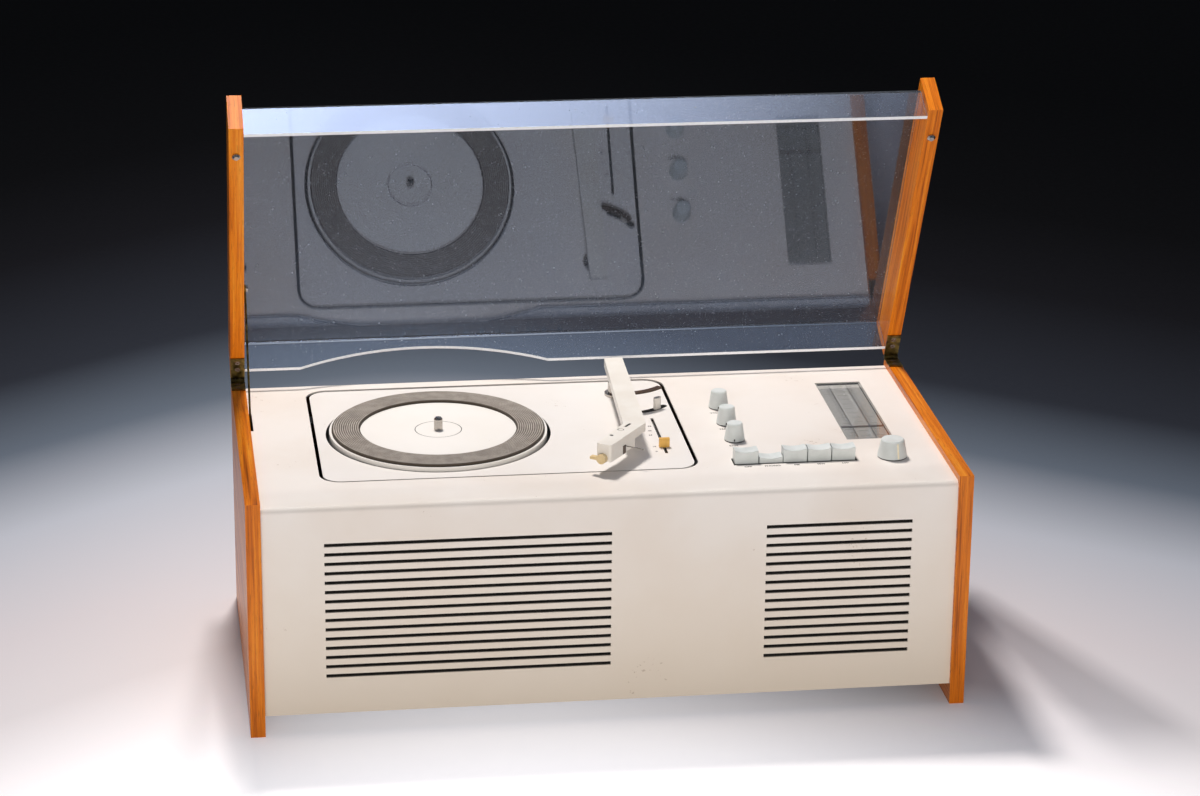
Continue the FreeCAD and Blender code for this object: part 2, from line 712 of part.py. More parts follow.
# Loudspeaker: basket, cone and magnet behind the left grille, facing the front
SPEAKER_Y = f"({BEHIND_FRONT} + cloth_thickness)"
SPEAKER_X = f"(left_grille_share * {INNER_WIDTH})"
SPEAKER_PLACE = (SPEAKER_X, SPEAKER_Y, GRILLE_MIDDLE, "Y")
RIM = "(speaker_radius - speaker_flange)"
node("speaker_basket", turned("basket", [
    (RIM, "0"), ("speaker_radius", "0"), ("speaker_radius", "speaker_flange_thickness"),
    (f"{RIM} + speaker_wall", "speaker_flange_thickness"),
    ("speaker_neck_radius + speaker_wall", "speaker_depth"), ("cone_neck_radius", "speaker_depth"),
    ("cone_neck_radius", "speaker_depth - speaker_wall"),
    ("speaker_neck_radius", "speaker_depth - speaker_wall"), (RIM, "speaker_flange_thickness")],
    *SPEAKER_PLACE))
node("speaker_cone", turned("cone_shell", [
    ("0", "cone_depth - cone_thickness"), ("cone_neck_radius", "cone_depth - cone_thickness"),
    (f"{RIM} - sliding_clearance - cone_thickness", "0"), (f"{RIM} - sliding_clearance", "0"),
    (f"{RIM} - sliding_clearance", "cone_thickness"), ("cone_neck_radius", "cone_depth"),
    ("0", "cone_depth")], *SPEAKER_PLACE))
node("speaker_magnet", cylinder("magnet", SPEAKER_X, f"{SPEAKER_Y} + speaker_depth", GRILLE_MIDDLE,
                                "magnet_radius", "magnet_length", "Y"))

# Radio chassis: folded tray standing on the floor plate
CHASSIS_RIGHT = f"({INSIDE} - chassis_wall_gap)"
CHASSIS_LEFT = f"({CHASSIS_RIGHT} - chassis_width)"
CHASSIS_REAR = f"({REAR} - chassis_from_rear)"
CHASSIS_FRONT = f"({CHASSIS_REAR} - chassis_depth)"
CHASSIS_TOP = f"({BASE_TOP} + chassis_height)"
tray = box("tray_block", CHASSIS_LEFT, CHASSIS_FRONT, BASE_TOP, "chassis_width", "chassis_depth",
           "chassis_height")
hollow = box("tray_hollow", f"{CHASSIS_LEFT} + sheet_thickness", f"{CHASSIS_FRONT} - overrun",
             f"{BASE_TOP} - overrun", "chassis_width - 2 * sheet_thickness", "chassis_depth + 2 * overrun",
             "chassis_height - sheet_thickness + overrun")
node("radio_chassis", cut("tray_cut", tray, hollow))


def iron_core(name, x, y):
    """Laminated core standing on the chassis with its winding bulging out at both faces."""
    bulge = f"(winding_bulge * {name}_depth / transformer_depth)"
    winding = f"(winding_height * {name}_height / transformer_height)"
    core = box(f"{name}_core", x, y, CHASSIS_TOP, f"{name}_length", f"{name}_depth", f"{name}_height")
    coil = box(f"{name}_coil", f"{x} + {bulge}", f"{y} - {bulge}",
               f"{CHASSIS_TOP} + ({name}_height - {winding}) / 2",
               f"{name}_length - 2 * {bulge}", f"{name}_depth + 2 * {bulge}", winding)
    return fuse(f"{name}_block", core, coil)


node("transformers", group(
    "transformer_pair",
    iron_core("transformer", f"({CHASSIS_RIGHT} - transformer_inset - transformer_length)",
              f"({CHASSIS_REAR} - transformer_back - transformer_depth)"),
    iron_core("output", f"({CHASSIS_LEFT} + output_inset)", f"({CHASSIS_FRONT} + output_back)")))

# Valves: glass bulbs on round bases
valves = []
for number in range(VALVES):
    TOP = "(valve_base_height + valve_bulb_height)"
    valves.append(turned(f"valve_{number}", [
        ("0", "0"), ("valve_base_radius", "0"), ("valve_base_radius", "valve_base_height"),
        ("valve_bulb_radius", "valve_base_height"), ("valve_bulb_radius", TOP),
        ("valve_tip_radius", f"{TOP} + valve_tip_height"), ("0", f"{TOP} + valve_tip_height")],
        f"{CHASSIS_LEFT} + valve_inset + {number} * valve_pitch", f"{CHASSIS_REAR} - valve_back",
        CHASSIS_TOP))
node("valves", group("valve_row", *valves))

# Tuning capacitor: two end plates, a floor and a stack of vanes between them
TUNER_X = f"({CHASSIS_LEFT} + tuner_inset)"
TUNER_Y = f"({CHASSIS_FRONT} + tuner_back)"
TUNER_ROOM = "(tuner_length - 2 * tuner_plate)"
tuner = [box("tuner_floor", TUNER_X, TUNER_Y, CHASSIS_TOP, "tuner_length", "tuner_depth", "tuner_plate")]
for end, x in (("left", TUNER_X), ("right", f"{TUNER_X} + tuner_length - tuner_plate")):
    tuner.append(box(f"tuner_{end}", x, TUNER_Y, CHASSIS_TOP, "tuner_plate", "tuner_depth", "tuner_height"))
for number in range(TUNER_VANES):
    tuner.append(box(
        f"tuner_vane_{number}", f"{TUNER_X} + tuner_plate + {number + 1} * {TUNER_ROOM} / {TUNER_VANES + 1}",
        f"{TUNER_Y} + tuner_plate", CHASSIS_TOP, "tuner_vane", "tuner_depth - 2 * tuner_plate",
        "tuner_height - tuner_plate"))
node("tuning_capacitor", fuse("tuner_block", *tuner))

# Potentiometers: hang under the deck with their bushes through it
POT_LENGTH = "(pot_height + sheet_thickness)"
pots = [turned(f"pot_{number}", [
    ("0", "0"), ("pot_radius", "0"), ("pot_radius", "pot_height"), ("bush_radius", "pot_height"),
    ("bush_radius", POT_LENGTH), ("shaft_radius + running_clearance", POT_LENGTH),
    ("shaft_radius + running_clearance", "pot_floor"), ("0", "pot_floor")],
    x, y, f"{UNDER_DECK} - pot_height") for number, (x, y) in enumerate(KNOB_PLACES)]
node("control_potentiometers", group("pot_row", *pots))


def knob_top(base, base_radius, top_radius):
    """Profile of a tapered knob above the height of its base."""
    return [("shaft_radius", base), (base_radius, base), (top_radius, f"{base} + knob_height - knob_edge"),
            (f"{top_radius} - knob_edge", f"{base} + knob_height"), ("0", f"{base} + knob_height")]


# Knobs: tapered caps, each on its own shaft down into its potentiometer
SHAFT = "(pot_height - pot_floor - sliding_clearance + sheet_thickness + knob_gap)"
for name, (x, y) in zip(KNOB_NAMES, KNOB_PLACES):
    profile = [("0", "0"), ("shaft_radius", "0")] + knob_top(SHAFT, "knob_base_radius", "knob_top_radius")
    node(name, turned(f"{name}_solid", profile, x, y, f"{DECK} + knob_gap - {SHAFT}"))

# Tuning knob: its shaft runs in a flanged bush and carries the cord drum below it
TUNING_SHAFT = "(tuning_bush_length + tuning_drum_height + sliding_clearance + sheet_thickness + knob_gap)"
profile = [("0", "0"), ("tuning_drum_radius", "0"), ("tuning_drum_radius", "tuning_drum_height"),
           ("shaft_radius", "tuning_drum_height")]
profile += knob_top(TUNING_SHAFT, "tuning_base_radius", "tuning_top_radius")
node("tuning_knob", turned("tuning_solid", profile, *TUNING_PLACE, f"{DECK} + knob_gap - {TUNING_SHAFT}"))
BUSH_LENGTH = "(tuning_bush_length + sheet_thickness)"
node("tuning_bush", turned("tuning_bush_solid", [
    ("shaft_radius + running_clearance", "0"), ("tuning_drum_radius", "0"),
    ("tuning_drum_radius", "tuning_bush_length"), ("bush_radius", "tuning_bush_length"),
    ("bush_radius", BUSH_LENGTH), ("shaft_radius + running_clearance", BUSH_LENGTH)],
    *TUNING_PLACE, f"{UNDER_DECK} - tuning_bush_length"))

# Push buttons: dished caps on flat stems; one of them is held down
BUTTON_FRONT = f"({FRONT} + button_slot_from_front + button_front_gap)"
BUTTON_HEIGHT = "(button_rise + button_skirt)"
DISH_RADIUS = "((button_width * button_width / 4 + button_dish * button_dish) / (2 * button_dish))"
STEM_FRONT = f"({BUTTON_FRONT} + (button_depth - stem_depth) / 2)"


def button_middle(number):
    return f"({SLOT_MIDDLE} + ({number} - {(BUTTONS + 1) / 2}) * button_pitch)"


for number in range(1, BUTTONS + 1):
    x = button_middle(number)
    pressed = "button_travel" if number == PRESSED_BUTTON else "0"
    top = f"({DECK} + button_rise - {pressed})"
    cap = prism(f"button_{number}_cap", "YZ_Plane", [
        ("0", "0"), ("button_depth", "0"), ("button_depth", BUTTON_HEIGHT), ("0", BUTTON_HEIGHT)],
        "button_width", [((2, 3), "button_edge")])
    place(cap, f"{x} - button_width / 2", BUTTON_FRONT, f"{top} - {BUTTON_HEIGHT}")
    dish = cylinder(f"button_{number}_dish", x, f"{BUTTON_FRONT} - overrun",
                    f"{top} - button_dish + {DISH_RADIUS}", DISH_RADIUS, "button_depth + 2 * overrun", "Y")
    stem = box(f"button_{number}_stem", f"{x} - stem_width / 2", STEM_FRONT,
               f"{top} - {BUTTON_HEIGHT} - stem_length", "stem_width", "stem_depth", "stem_length")
    dished = cut(f"button_{number}_dished", cap, dish)
    node(f"push_button_{number}", fuse(f"button_{number}_solid", dished, stem))

# Switch bank: a block under the buttons, hung from the deck by an arm at each end
BANK_TOP = f"({DECK} - button_skirt - button_travel - bank_gap)"
BANK_LEFT = f"({SLOT_MIDDLE} - button_slot_width / 2 - bank_arm)"
BANK_WIDTH = "(button_slot_width + 2 * bank_arm)"
BANK_FRONT = f"({FRONT} + button_slot_from_front + (button_slot_depth - bank_depth) / 2)"
bank = [box("bank_block", BANK_LEFT, BANK_FRONT, f"{BANK_TOP} - bank_height", BANK_WIDTH, "bank_depth",
            "bank_height")]
for end, x in (("left", BANK_LEFT), ("right", f"{BANK_LEFT} + {BANK_WIDTH} - bank_arm")):
    bank.append(box(f"bank_{end}_arm", x, BANK_FRONT, BANK_TOP, "bank_arm", "bank_depth",
                    f"{UNDER_DECK} - {BANK_TOP}"))
guides = [box(f"bank_guide_{number}", f"{button_middle(number)} - stem_width / 2 - sliding_clearance",
              f"{STEM_FRONT} - sliding_clearance", f"{BANK_TOP} - bank_height - overrun",
              "stem_width + 2 * sliding_clearance", "stem_depth + 2 * sliding_clearance",
              "bank_height + 2 * overrun") for number in range(1, BUTTONS + 1)]
node("button_switch_bank", cut("bank_cut", fuse("bank_frame", *bank), *guides))

# Dial: a tray under the deck holds the glass in the window, with the scale on its floor
FRAME_BOTTOM = f"({UNDER_DECK} - dial_well)"
SCALE_PLAN = (f"{DIAL_LEFT} - dial_margin", f"{DIAL_FRONT} - dial_margin")
SCALE_SIZE = ("dial_width + 2 * dial_margin", f"{DIAL_LENGTH} + 2 * dial_margin")
WELL_WIDTH = "(dial_width - 2 * dial_lip)"
frame = box("dial_surround", *SCALE_PLAN, FRAME_BOTTOM, *SCALE_SIZE, "dial_well")
well = box("dial_hollow", f"{DIAL_LEFT} + dial_lip", f"{DIAL_FRONT} + dial_lip", f"{FRAME_BOTTOM} - overrun",
           WELL_WIDTH, f"{DIAL_LENGTH} - 2 * dial_lip", "dial_well + 2 * overrun")
floor = box("scale_plate", *SCALE_PLAN, f"{FRAME_BOTTOM} - scale_thickness", *SCALE_SIZE, "scale_thickness")
node("dial_scale_tray", fuse("dial_tray_solid", cut("dial_frame_cut", frame, well), floor))
node("dial_glass", box("dial_pane", f"{DIAL_LEFT} + sliding_clearance", f"{DIAL_FRONT} + sliding_clearance",
                       UNDER_DECK, "dial_width - 2 * sliding_clearance",
                       f"{DIAL_LENGTH} - 2 * sliding_clearance", "sheet_thickness - dial_recess"))
node("dial_pointer", box("pointer_bar", f"{DIAL_LEFT} + dial_lip + sliding_clearance",
                         f"{FRONT} + pointer_from_front - pointer_thickness / 2",
                         f"{FRAME_BOTTOM} + sliding_clearance", f"{WELL_WIDTH} - 2 * sliding_clearance",
                         "pointer_thickness", "pointer_height"))


def outward_box(label, edge, outward, start, stop, y, z, width, height):
    """Box between two distances outward from an edge of the deck opening."""
    x = f"{edge} + {start}" if outward > 0 else f"{edge} - ({stop})"
    return box(label, x, y, z, f"{stop} - ({start})", width, height)


# Brackets and rubber mounts: carry the plate under the edges of the opening
FOOT_BOTTOM = f"({UNDER_DECK} - bracket_drop)"
FOOT_TOP = f"({FOOT_BOTTOM} + sheet_thickness)"
WEB_OUT = "(bracket_offset + sheet_thickness)"
brackets = []
mounts = []
for side, edge, outward in (("left", OPENING_LEFT, -1), ("right", OPENING_RIGHT, 1)):
    for number, share in enumerate(BRACKET_SHARES):
        middle = f"({OPENING_FRONT} + {share} * ({OPENING_REAR} - {OPENING_FRONT}))"
        y = f"{middle} - bracket_width / 2"
        label = f"bracket_{side}_{number}"
        web = outward_box(f"{label}_web", edge, outward, "bracket_offset", WEB_OUT, y, FOOT_BOTTOM,
                          "bracket_width", "bracket_drop")
        flange = outward_box(f"{label}_flange", edge, outward, "bracket_offset",
                             "bracket_offset + bracket_flange", y, f"{UNDER_DECK} - sheet_thickness",
                             "bracket_width", "sheet_thickness")
        foot = outward_box(f"{label}_foot", edge, outward, f"{WEB_OUT} - bracket_foot", WEB_OUT, y,
                           FOOT_BOTTOM, "bracket_width", "sheet_thickness")
        brackets.append(fuse(label, web, flange, foot))
        x = f"{edge} + mount_inset" if outward < 0 else f"{edge} - mount_inset"
        mounts.append(cylinder(f"mount_{side}_{number}", x, middle, FOOT_TOP, "mount_radius",
                               f"{PLATE_UNDER} - {FOOT_TOP}"))
node("plate_brackets", group("bracket_set", *brackets))
node("suspension_mounts", group("mount_set", *mounts))

# Platter: disc just above the deck with its rim turned down, a fine ring groove and a ribbed mat on it
PLATTER_BOTTOM = f"({PLATE_TOP} + platter_gap)"
GROOVE_OUTER = "(centre_groove_radius + centre_groove_width)"
GROOVE_FLOOR = "(platter_thickness - centre_groove_depth)"
BORE = "(spindle_radius + seat_clearance)"
node("platter", turned("platter_disc", [
    (BORE, "0"), ("platter_radius - platter_wall", "0"), ("platter_radius - platter_wall", "-platter_skirt"),
    ("platter_radius", "-platter_skirt"), ("platter_radius", "platter_thickness"),
    (GROOVE_OUTER, "platter_thickness"), (GROOVE_OUTER, GROOVE_FLOOR), ("centre_groove_radius", GROOVE_FLOOR),
    ("centre_groove_radius", "platter_thickness"), (BORE, "platter_thickness")],
    PLATTER_X, PLATTER_Y, PLATTER_BOTTOM))
MAT_OUTER = "(platter_radius - mat_margin)"
node("platter_mat", turned("mat_ring", [
    ("mat_inner_radius", "0"), (MAT_OUTER, "0"), (MAT_OUTER, "mat_thickness"),
    ("mat_inner_radius", "mat_thickness")], PLATTER_X, PLATTER_Y, f"{PLATTER_BOTTOM} + platter_thickness"))

# Spindle with its drive drum, and the bearing that hangs under the well with a boss up through it
BEARING_BOTTOM = f"({WELL_UNDER} - bearing_length)"
DRUM_TOP = f"({BEARING_BOTTOM} - drum_gap)"
DRUM_BOTTOM = f"({DRUM_TOP} - drum_height)"
SPINDLE_LENGTH = f"({DECK} + spindle_rise - {DRUM_BOTTOM})"
node("spindle", turned("spindle_solid", [
    ("0", "0"), ("drum_radius", "0"), ("drum_radius", "drum_height"), ("spindle_radius", "drum_height"),
    ("spindle_radius", f"{SPINDLE_LENGTH} - spindle_tip"),
    ("spindle_tip_radius", SPINDLE_LENGTH), ("0", SPINDLE_LENGTH)], PLATTER_X, PLATTER_Y, DRUM_BOTTOM))
BOSS_TOP = "(bearing_length + plate_thickness + well_depth + platter_gap - running_clearance)"
BEARING_BORE = "(spindle_radius + running_clearance)"
node("platter_bearing", turned("bearing_solid", [
    (BEARING_BORE, "0"), ("bearing_radius", "0"),
    ("bearing_radius", "bearing_length - bearing_flange_thickness"),
    ("bearing_flange_radius", "bearing_length - bearing_flange_thickness"),
    ("bearing_flange_radius", "bearing_length"), ("bearing_boss_radius", "bearing_length"),
    ("bearing_boss_radius", BOSS_TOP), (BEARING_BORE, BOSS_TOP)], PLATTER_X, PLATTER_Y, BEARING_BOTTOM))

# Idler wheel: between the spindle's drum and the motor pulley
IDLER_X = f"({PLATTER_X} + drum_radius + drive_gap + idler_radius)"
IDLER_BOTTOM = f"({DRUM_BOTTOM} + (drum_height - idler_height) / 2)"
STUD_SHOULDER = f"({IDLER_BOTTOM} + idler_height + sliding_clearance)"
node("idler_wheel", turned("idler_disc", [
    ("idler_pin_radius + running_clearance", "0"), ("idler_radius", "0"), ("idler_radius", "idler_height"),
    ("idler_pin_radius + running_clearance", "idler_height")], IDLER_X, PLATTER_Y, IDLER_BOTTOM))

# Turntable plate: floats in the deck opening, with a pressed well for the platter and the idler's stud
plate = rounded_slab("plate_sheet", f"{OPENING_LEFT} + plate_gap", f"{OPENING_RIGHT} - plate_gap",
                     f"{OPENING_FRONT} + plate_gap", f"{OPENING_REAR} - plate_gap",
                     PLATE_UNDER, "plate_thickness", "opening_corner_radius - plate_gap")
PLATE_CUT = (f"{PLATE_UNDER} - overrun", "plate_thickness + 2 * overrun")
WELL_RADIUS = "(platter_radius + well_gap)"
SPEED_X = f"(speed_slot_share * {INNER_WIDTH})"
pierced = cut(
    "plate_cut", plate,
    cylinder("well_hole", PLATTER_X, PLATTER_Y, PLATE_CUT[0], WELL_RADIUS, PLATE_CUT[1]),
    box("speed_slot", f"{SPEED_X} - speed_slot_width / 2", f"{FRONT} + speed_slot_from_front", PLATE_CUT[0],
        "speed_slot_width", "speed_slot_length", PLATE_CUT[1]))
well = turned("platter_well", [
    ("plate_hole_radius", "0"), (f"{WELL_RADIUS} + plate_thickness", "0"),
    (f"{WELL_RADIUS} + plate_thickness", "well_depth + plate_thickness"),
    (WELL_RADIUS, "well_depth + plate_thickness"), (WELL_RADIUS, "plate_thickness"),
    ("plate_hole_radius", "plate_thickness")], PLATTER_X, PLATTER_Y, WELL_UNDER)
stud_pin = cylinder("stud_pin", IDLER_X, PLATTER_Y, IDLER_BOTTOM, "idler_pin_radius",
                    f"{STUD_SHOULDER} - {IDLER_BOTTOM}")
stud_body = cylinder("stud_body", IDLER_X, PLATTER_Y, STUD_SHOULDER, "idler_stud_radius",
                     f"{WELL_UNDER} - {STUD_SHOULDER}")
node("turntable_plate", fuse("plate_solid", pierced, well, stud_pin, stud_body))

# Motor: hangs on posts under the well; the pulley is one with its shaft
MOTOR_X = f"({IDLER_X} + idler_radius + drive_gap + pulley_radius)"
MOTOR_TOP = f"({DRUM_BOTTOM} - motor_gap)"
motor = [cylinder("motor_can", MOTOR_X, PLATTER_Y, f"{MOTOR_TOP} - motor_height", "motor_radius",
                  "motor_height")]
for angle in MOTOR_POST_ANGLES:
    motor.append(cylinder(f"motor_post_{angle}", f"{MOTOR_X} + motor_post_circle * cos({angle})",
                          f"{PLATTER_Y} + motor_post_circle * sin({angle})", MOTOR_TOP, "motor_post_radius",
                          f"{WELL_UNDER} - {MOTOR_TOP}"))
motor_bore = cylinder("motor_bore", MOTOR_X, PLATTER_Y, f"{MOTOR_TOP} - motor_shaft_depth",
                      "motor_shaft_radius + running_clearance", "motor_shaft_depth + overrun")
node("drive_motor", cut("motor_cut", fuse("motor_block", *motor), motor_bore))
PULLEY_FOOT = "(motor_shaft_depth - sliding_clearance + motor_gap)"
node("motor_pulley", turned("pulley_solid", [
    ("0", "0"), ("motor_shaft_radius", "0"), ("motor_shaft_radius", PULLEY_FOOT),
    ("pulley_radius", PULLEY_FOOT), ("pulley_radius", f"{PULLEY_FOOT} + drum_height"),
    ("0", f"{PULLEY_FOOT} + drum_height")],
    MOTOR_X, PLATTER_Y, f"{DRUM_BOTTOM} - {PULLEY_FOOT}"))

# Speed selector: a strip under the plate, its stem in the slot and a cap to push
CAP_MIDDLE = f"({FRONT} + speed_cap_from_front)"
STRIP_TOP = f"({PLATE_UNDER} - sliding_clearance)"
CAP_BOTTOM = f"({PLATE_TOP} + speed_cap_gap)"
strip = box("speed_strip", f"{SPEED_X} - speed_strip_width / 2", f"{CAP_MIDDLE} - speed_strip_ahead",
            f"{STRIP_TOP} - speed_strip_thickness", "speed_strip_width",
            "speed_strip_ahead + speed_strip_behind", "speed_strip_thickness")
stem = box("speed_stem", f"{SPEED_X} - speed_slot_width / 2 + sliding_clearance",
           f"{CAP_MIDDLE} - speed_stem_depth / 2", STRIP_TOP, "speed_slot_width - 2 * sliding_clearance",
           "speed_stem_depth", f"{CAP_BOTTOM} - {STRIP_TOP}")
node("speed_lever", fuse("speed_lever_solid", strip, stem))
node("speed_lever_cap", box("speed_cap", f"{SPEED_X} - speed_cap_width / 2",
                            f"{CAP_MIDDLE} - speed_cap_depth / 2", CAP_BOTTOM, "speed_cap_width",
                            "speed_cap_depth", "speed_cap_height"))

# Tonearm pillar: flanged column on the plate with a pin for the yoke
PILLAR_TOP = f"({DECK} + pillar_rise - {PLATE_TOP})"
PIN_TOP = f"({PILLAR_TOP} + sliding_clearance + yoke_thickness)"
node("tonearm_pillar", turned("pillar_solid", [
    ("0", "0"), ("pillar_flange_radius", "0"), ("pillar_flange_radius", "pillar_flange_thickness"),
    ("pillar_radius", "pillar_flange_thickness"), ("pillar_radius", PILLAR_TOP),
    ("pillar_pin_radius", PILLAR_TOP), ("pillar_pin_radius", PIN_TOP), ("0", PIN_TOP)],
    PIVOT_X, PIVOT_Y, PLATE_TOP))

# Yoke: turns on the pillar, with the lift axle riveted through its two ears
YOKE_BOTTOM = f"({DECK} + pillar_rise + sliding_clearance)"
EAR_OUT = "(pocket_width / 2 - ear_gap)"
yoke = [cylinder("yoke_disc", PIVOT_X, PIVOT_Y, YOKE_BOTTOM, "yoke_radius", "yoke_thickness")]
for side, x in (("left", f"{PIVOT_X} - {EAR_OUT}"), ("right", f"{PIVOT_X} + {EAR_OUT} - ear_thickness")):
    yoke.append(box(f"yoke_{side}_ear", x, f"{PIVOT_Y} - ear_length / 2", YOKE_BOTTOM, "ear_thickness",
                    "ear_length", f"{ARM_AXIS} + ear_above_axis - {YOKE_BOTTOM}"))
yoke_bore = cylinder("yoke_bore", PIVOT_X, PIVOT_Y, f"{YOKE_BOTTOM} - overrun",
                     "pillar_pin_radius + running_clearance", "yoke_thickness + 2 * overrun")
axle = cylinder("axle_pin", f"{PIVOT_X} - arm_rear_width / 2", PIVOT_Y, ARM_AXIS, "axle_radius",
                "arm_rear_width", "X")
node("tonearm_yoke", fuse("yoke_solid", cut("yoke_cut", fuse("yoke_block", *yoke), yoke_bore), axle))

# Tonearm: flat tapered beam bent at the elbow, with a deep box at the tip and the cartridge holder behind
ELBOW_X = f"({PIVOT_X} - arm_elbow_shift)"
ELBOW_Y = f"({PIVOT_Y} - arm_elbow_reach)"
TIP_X = f"({ELBOW_X} - head_shift)"
TIP_Y = f"({ELBOW_Y} - head_reach)"
TIP_HALF_X = "(arm_tip_width / 2 * cos(head_angle))"
TIP_HALF_Y = "(arm_tip_width / 2 * sin(head_angle))"
beam = prism("arm_beam", "XY_Plane", [
    (f"{PIVOT_X} - arm_rear_width / 2", f"{PIVOT_Y} + arm_rear_length"),
    (f"{ELBOW_X} - arm_elbow_width / 2", ELBOW_Y), (f"{TIP_X} - {TIP_HALF_X}", f"{TIP_Y} + {TIP_HALF_Y}"),
    (f"{TIP_X} + {TIP_HALF_X}", f"{TIP_Y} - {TIP_HALF_Y}"), (f"{ELBOW_X} + arm_elbow_width / 2", ELBOW_Y),
    (f"{PIVOT_X} + arm_rear_width / 2", f"{PIVOT_Y} + arm_rear_length")],
    "arm_thickness", [((0, 4, 5), "arm_edge"), ((2, 3), "head_edge")])
place(beam, "0", "0", ARM_UNDER)


def head_place(across, back):
    """Point in plan at a distance across and back from the middle of the head's tip."""
    return (f"({TIP_X} + ({across}) * cos(head_angle) + ({back}) * sin(head_angle))",
            f"({TIP_Y} - ({across}) * sin(head_angle) + ({back}) * cos(head_angle))")


def head_box(label, width, start, length, z, height, across="0"):
    """Box lying along the head, counted back from its tip."""
    item = bind(doc.addObject("Part::Box", label), Length=width, Width=length, Height=height)
    return place(rotate(item, (0, 0, -1), "head_angle"), *head_place(f"{across} - ({width}) / 2", start), z)


HEAD_BOTTOM = f"({ARM_TOP} - head_height)"
TURNOVER_Z = f"({DECK} + turnover_rise)"


def head_cylinder(label, radius, start, length):
    """Round piece along the head's own axis at the height of the turn-over knob."""
    item = bind(doc.addObject("Part::Cylinder", label), Radius=radius, Height=length)
    lie = FreeCAD.Rotation(Vector(0, 0, 1), -value("head_angle")) * FreeCAD.Rotation(Vector(1, 0, 0), -90)
    item.Placement = FreeCAD.Placement(Vector(), lie)
    return place(item, *head_place("0", start), TURNOVER_Z)


head = prism("arm_head", "XY_Plane", [
    head_place("-arm_tip_width / 2", "0"), head_place("arm_tip_width / 2", "0"),
    head_place("arm_tip_width / 2", "head_length"), head_place("-arm_tip_width / 2", "head_length")],
    "head_height", [((0, 1), "head_edge")])
place(head, "0", "0", HEAD_BOTTOM)
holder = head_box("cartridge_holder", "holder_width", "head_length + cartridge_length", "holder_length",
                  HEAD_BOTTOM, f"{ARM_UNDER} - {HEAD_BOTTOM}")
RECESS = (f"({ARM_TOP} - head_recess)", "head_recess + overrun")
hollows = [
    head_box("head_slot", "head_slot_width", "head_slot_back - head_slot_length / 2", "head_slot_length",
             *RECESS, "head_mark_across"),
    cut("head_ring",
        cylinder("head_ring_outer", *head_place("head_mark_across", "head_ring_back"), RECESS[0],
                 "head_ring_radius", RECESS[1]),
        cylinder("head_ring_inner", *head_place("head_mark_across", "head_ring_back"), RECESS[0],
                 "head_ring_radius - head_ring_width", RECESS[1])),
    cylinder("head_hole", *head_place("head_mark_across", "head_hole_back"), RECESS[0], "head_hole_radius",
             RECESS[1]),
    box("arm_pocket", f"{PIVOT_X} - pocket_width / 2", f"{PIVOT_Y} - pocket_length / 2",
        f"{ARM_UNDER} - overrun", "pocket_width", "pocket_length", "pocket_depth + overrun"),
    cylinder("arm_axle_bore", f"{PIVOT_X} - arm_rear_width", PIVOT_Y, ARM_AXIS,
             "axle_radius + running_clearance", "2 * arm_rear_width", "X"),
    head_cylinder("turnover_bore", "turnover_pin_radius + running_clearance", "-overrun",
                  "turnover_pin_length + sliding_clearance + overrun")]
node("tonearm", cut("arm_cut", fuse("arm_block", beam, head, holder), *hollows))

# Cartridge: a slice with the stylus, held between the tip box and the holder
SLICE = head_box("cartridge_slice", "cartridge_width", "head_length", "cartridge_length", HEAD_BOTTOM,
                 f"{ARM_UNDER} - {HEAD_BOTTOM}")
STYLUS = cone("stylus", *head_place("0", "head_length + cartridge_length / 2"),
              f"{HEAD_BOTTOM} - stylus_length", "stylus_point_radius", "stylus_radius", "stylus_length")
node("cartridge", fuse("cartridge_solid", SLICE, STYLUS))

# Turn-over knob at the tip, with a finger tab to the left
disc = head_cylinder("turnover_disc", "turnover_radius", "-turnover_length - sliding_clearance",
                     "turnover_length")
pin = head_cylinder("turnover_pin", "turnover_pin_radius", "-sliding_clearance - turnover_length",
                    "turnover_pin_length + turnover_length")
tab = bind(doc.addObject("Part::Box", "turnover_tab"), Length="finger_length", Width="turnover_length",
           Height="finger_height")
place(rotate(tab, (0, 0, -1), "head_angle"),
      *head_place("-finger_length", "-turnover_length - sliding_clearance"),
      f"{TURNOVER_Z} - finger_height / 2")
node("turnover_knob", fuse("turnover_solid", disc, pin, tab))

# Arm rest: curved bar on a post, centred on the arm's pivot
rest_outer = cylinder("rest_outer", "0", "0", "0", "rest_radius + rest_width / 2", "rest_thickness")
bind(rest_outer, Angle="rest_sweep_angle")
rotate(rest_outer, (0, 0, 1), "rest_start_angle")
REST_BOTTOM = f"({DECK} + rest_rise - rest_thickness)"
place(rest_outer, PIVOT_X, PIVOT_Y, REST_BOTTOM)
rest_inner = cylinder("rest_inner", PIVOT_X, PIVOT_Y, f"{REST_BOTTOM} - overrun",
                      "rest_radius - rest_width / 2", "rest_thickness + 2 * overrun")
rest_post = cylinder("rest_post", PIVOT_X, f"{PIVOT_Y} - rest_radius", PLATE_TOP,
                     "rest_post_radius", f"{REST_BOTTOM} - {PLATE_TOP}")
node("arm_rest", fuse("rest_solid", cut("rest_cut", rest_outer, rest_inner), rest_post))


def on_lid(item):
    """Swing a piece drawn round the hinge line, with the lid shut, to the open lid."""
    return place(rotate(item, (-1, 0, 0), "lid_open_angle"), "0", REAR, HINGE_HEIGHT)


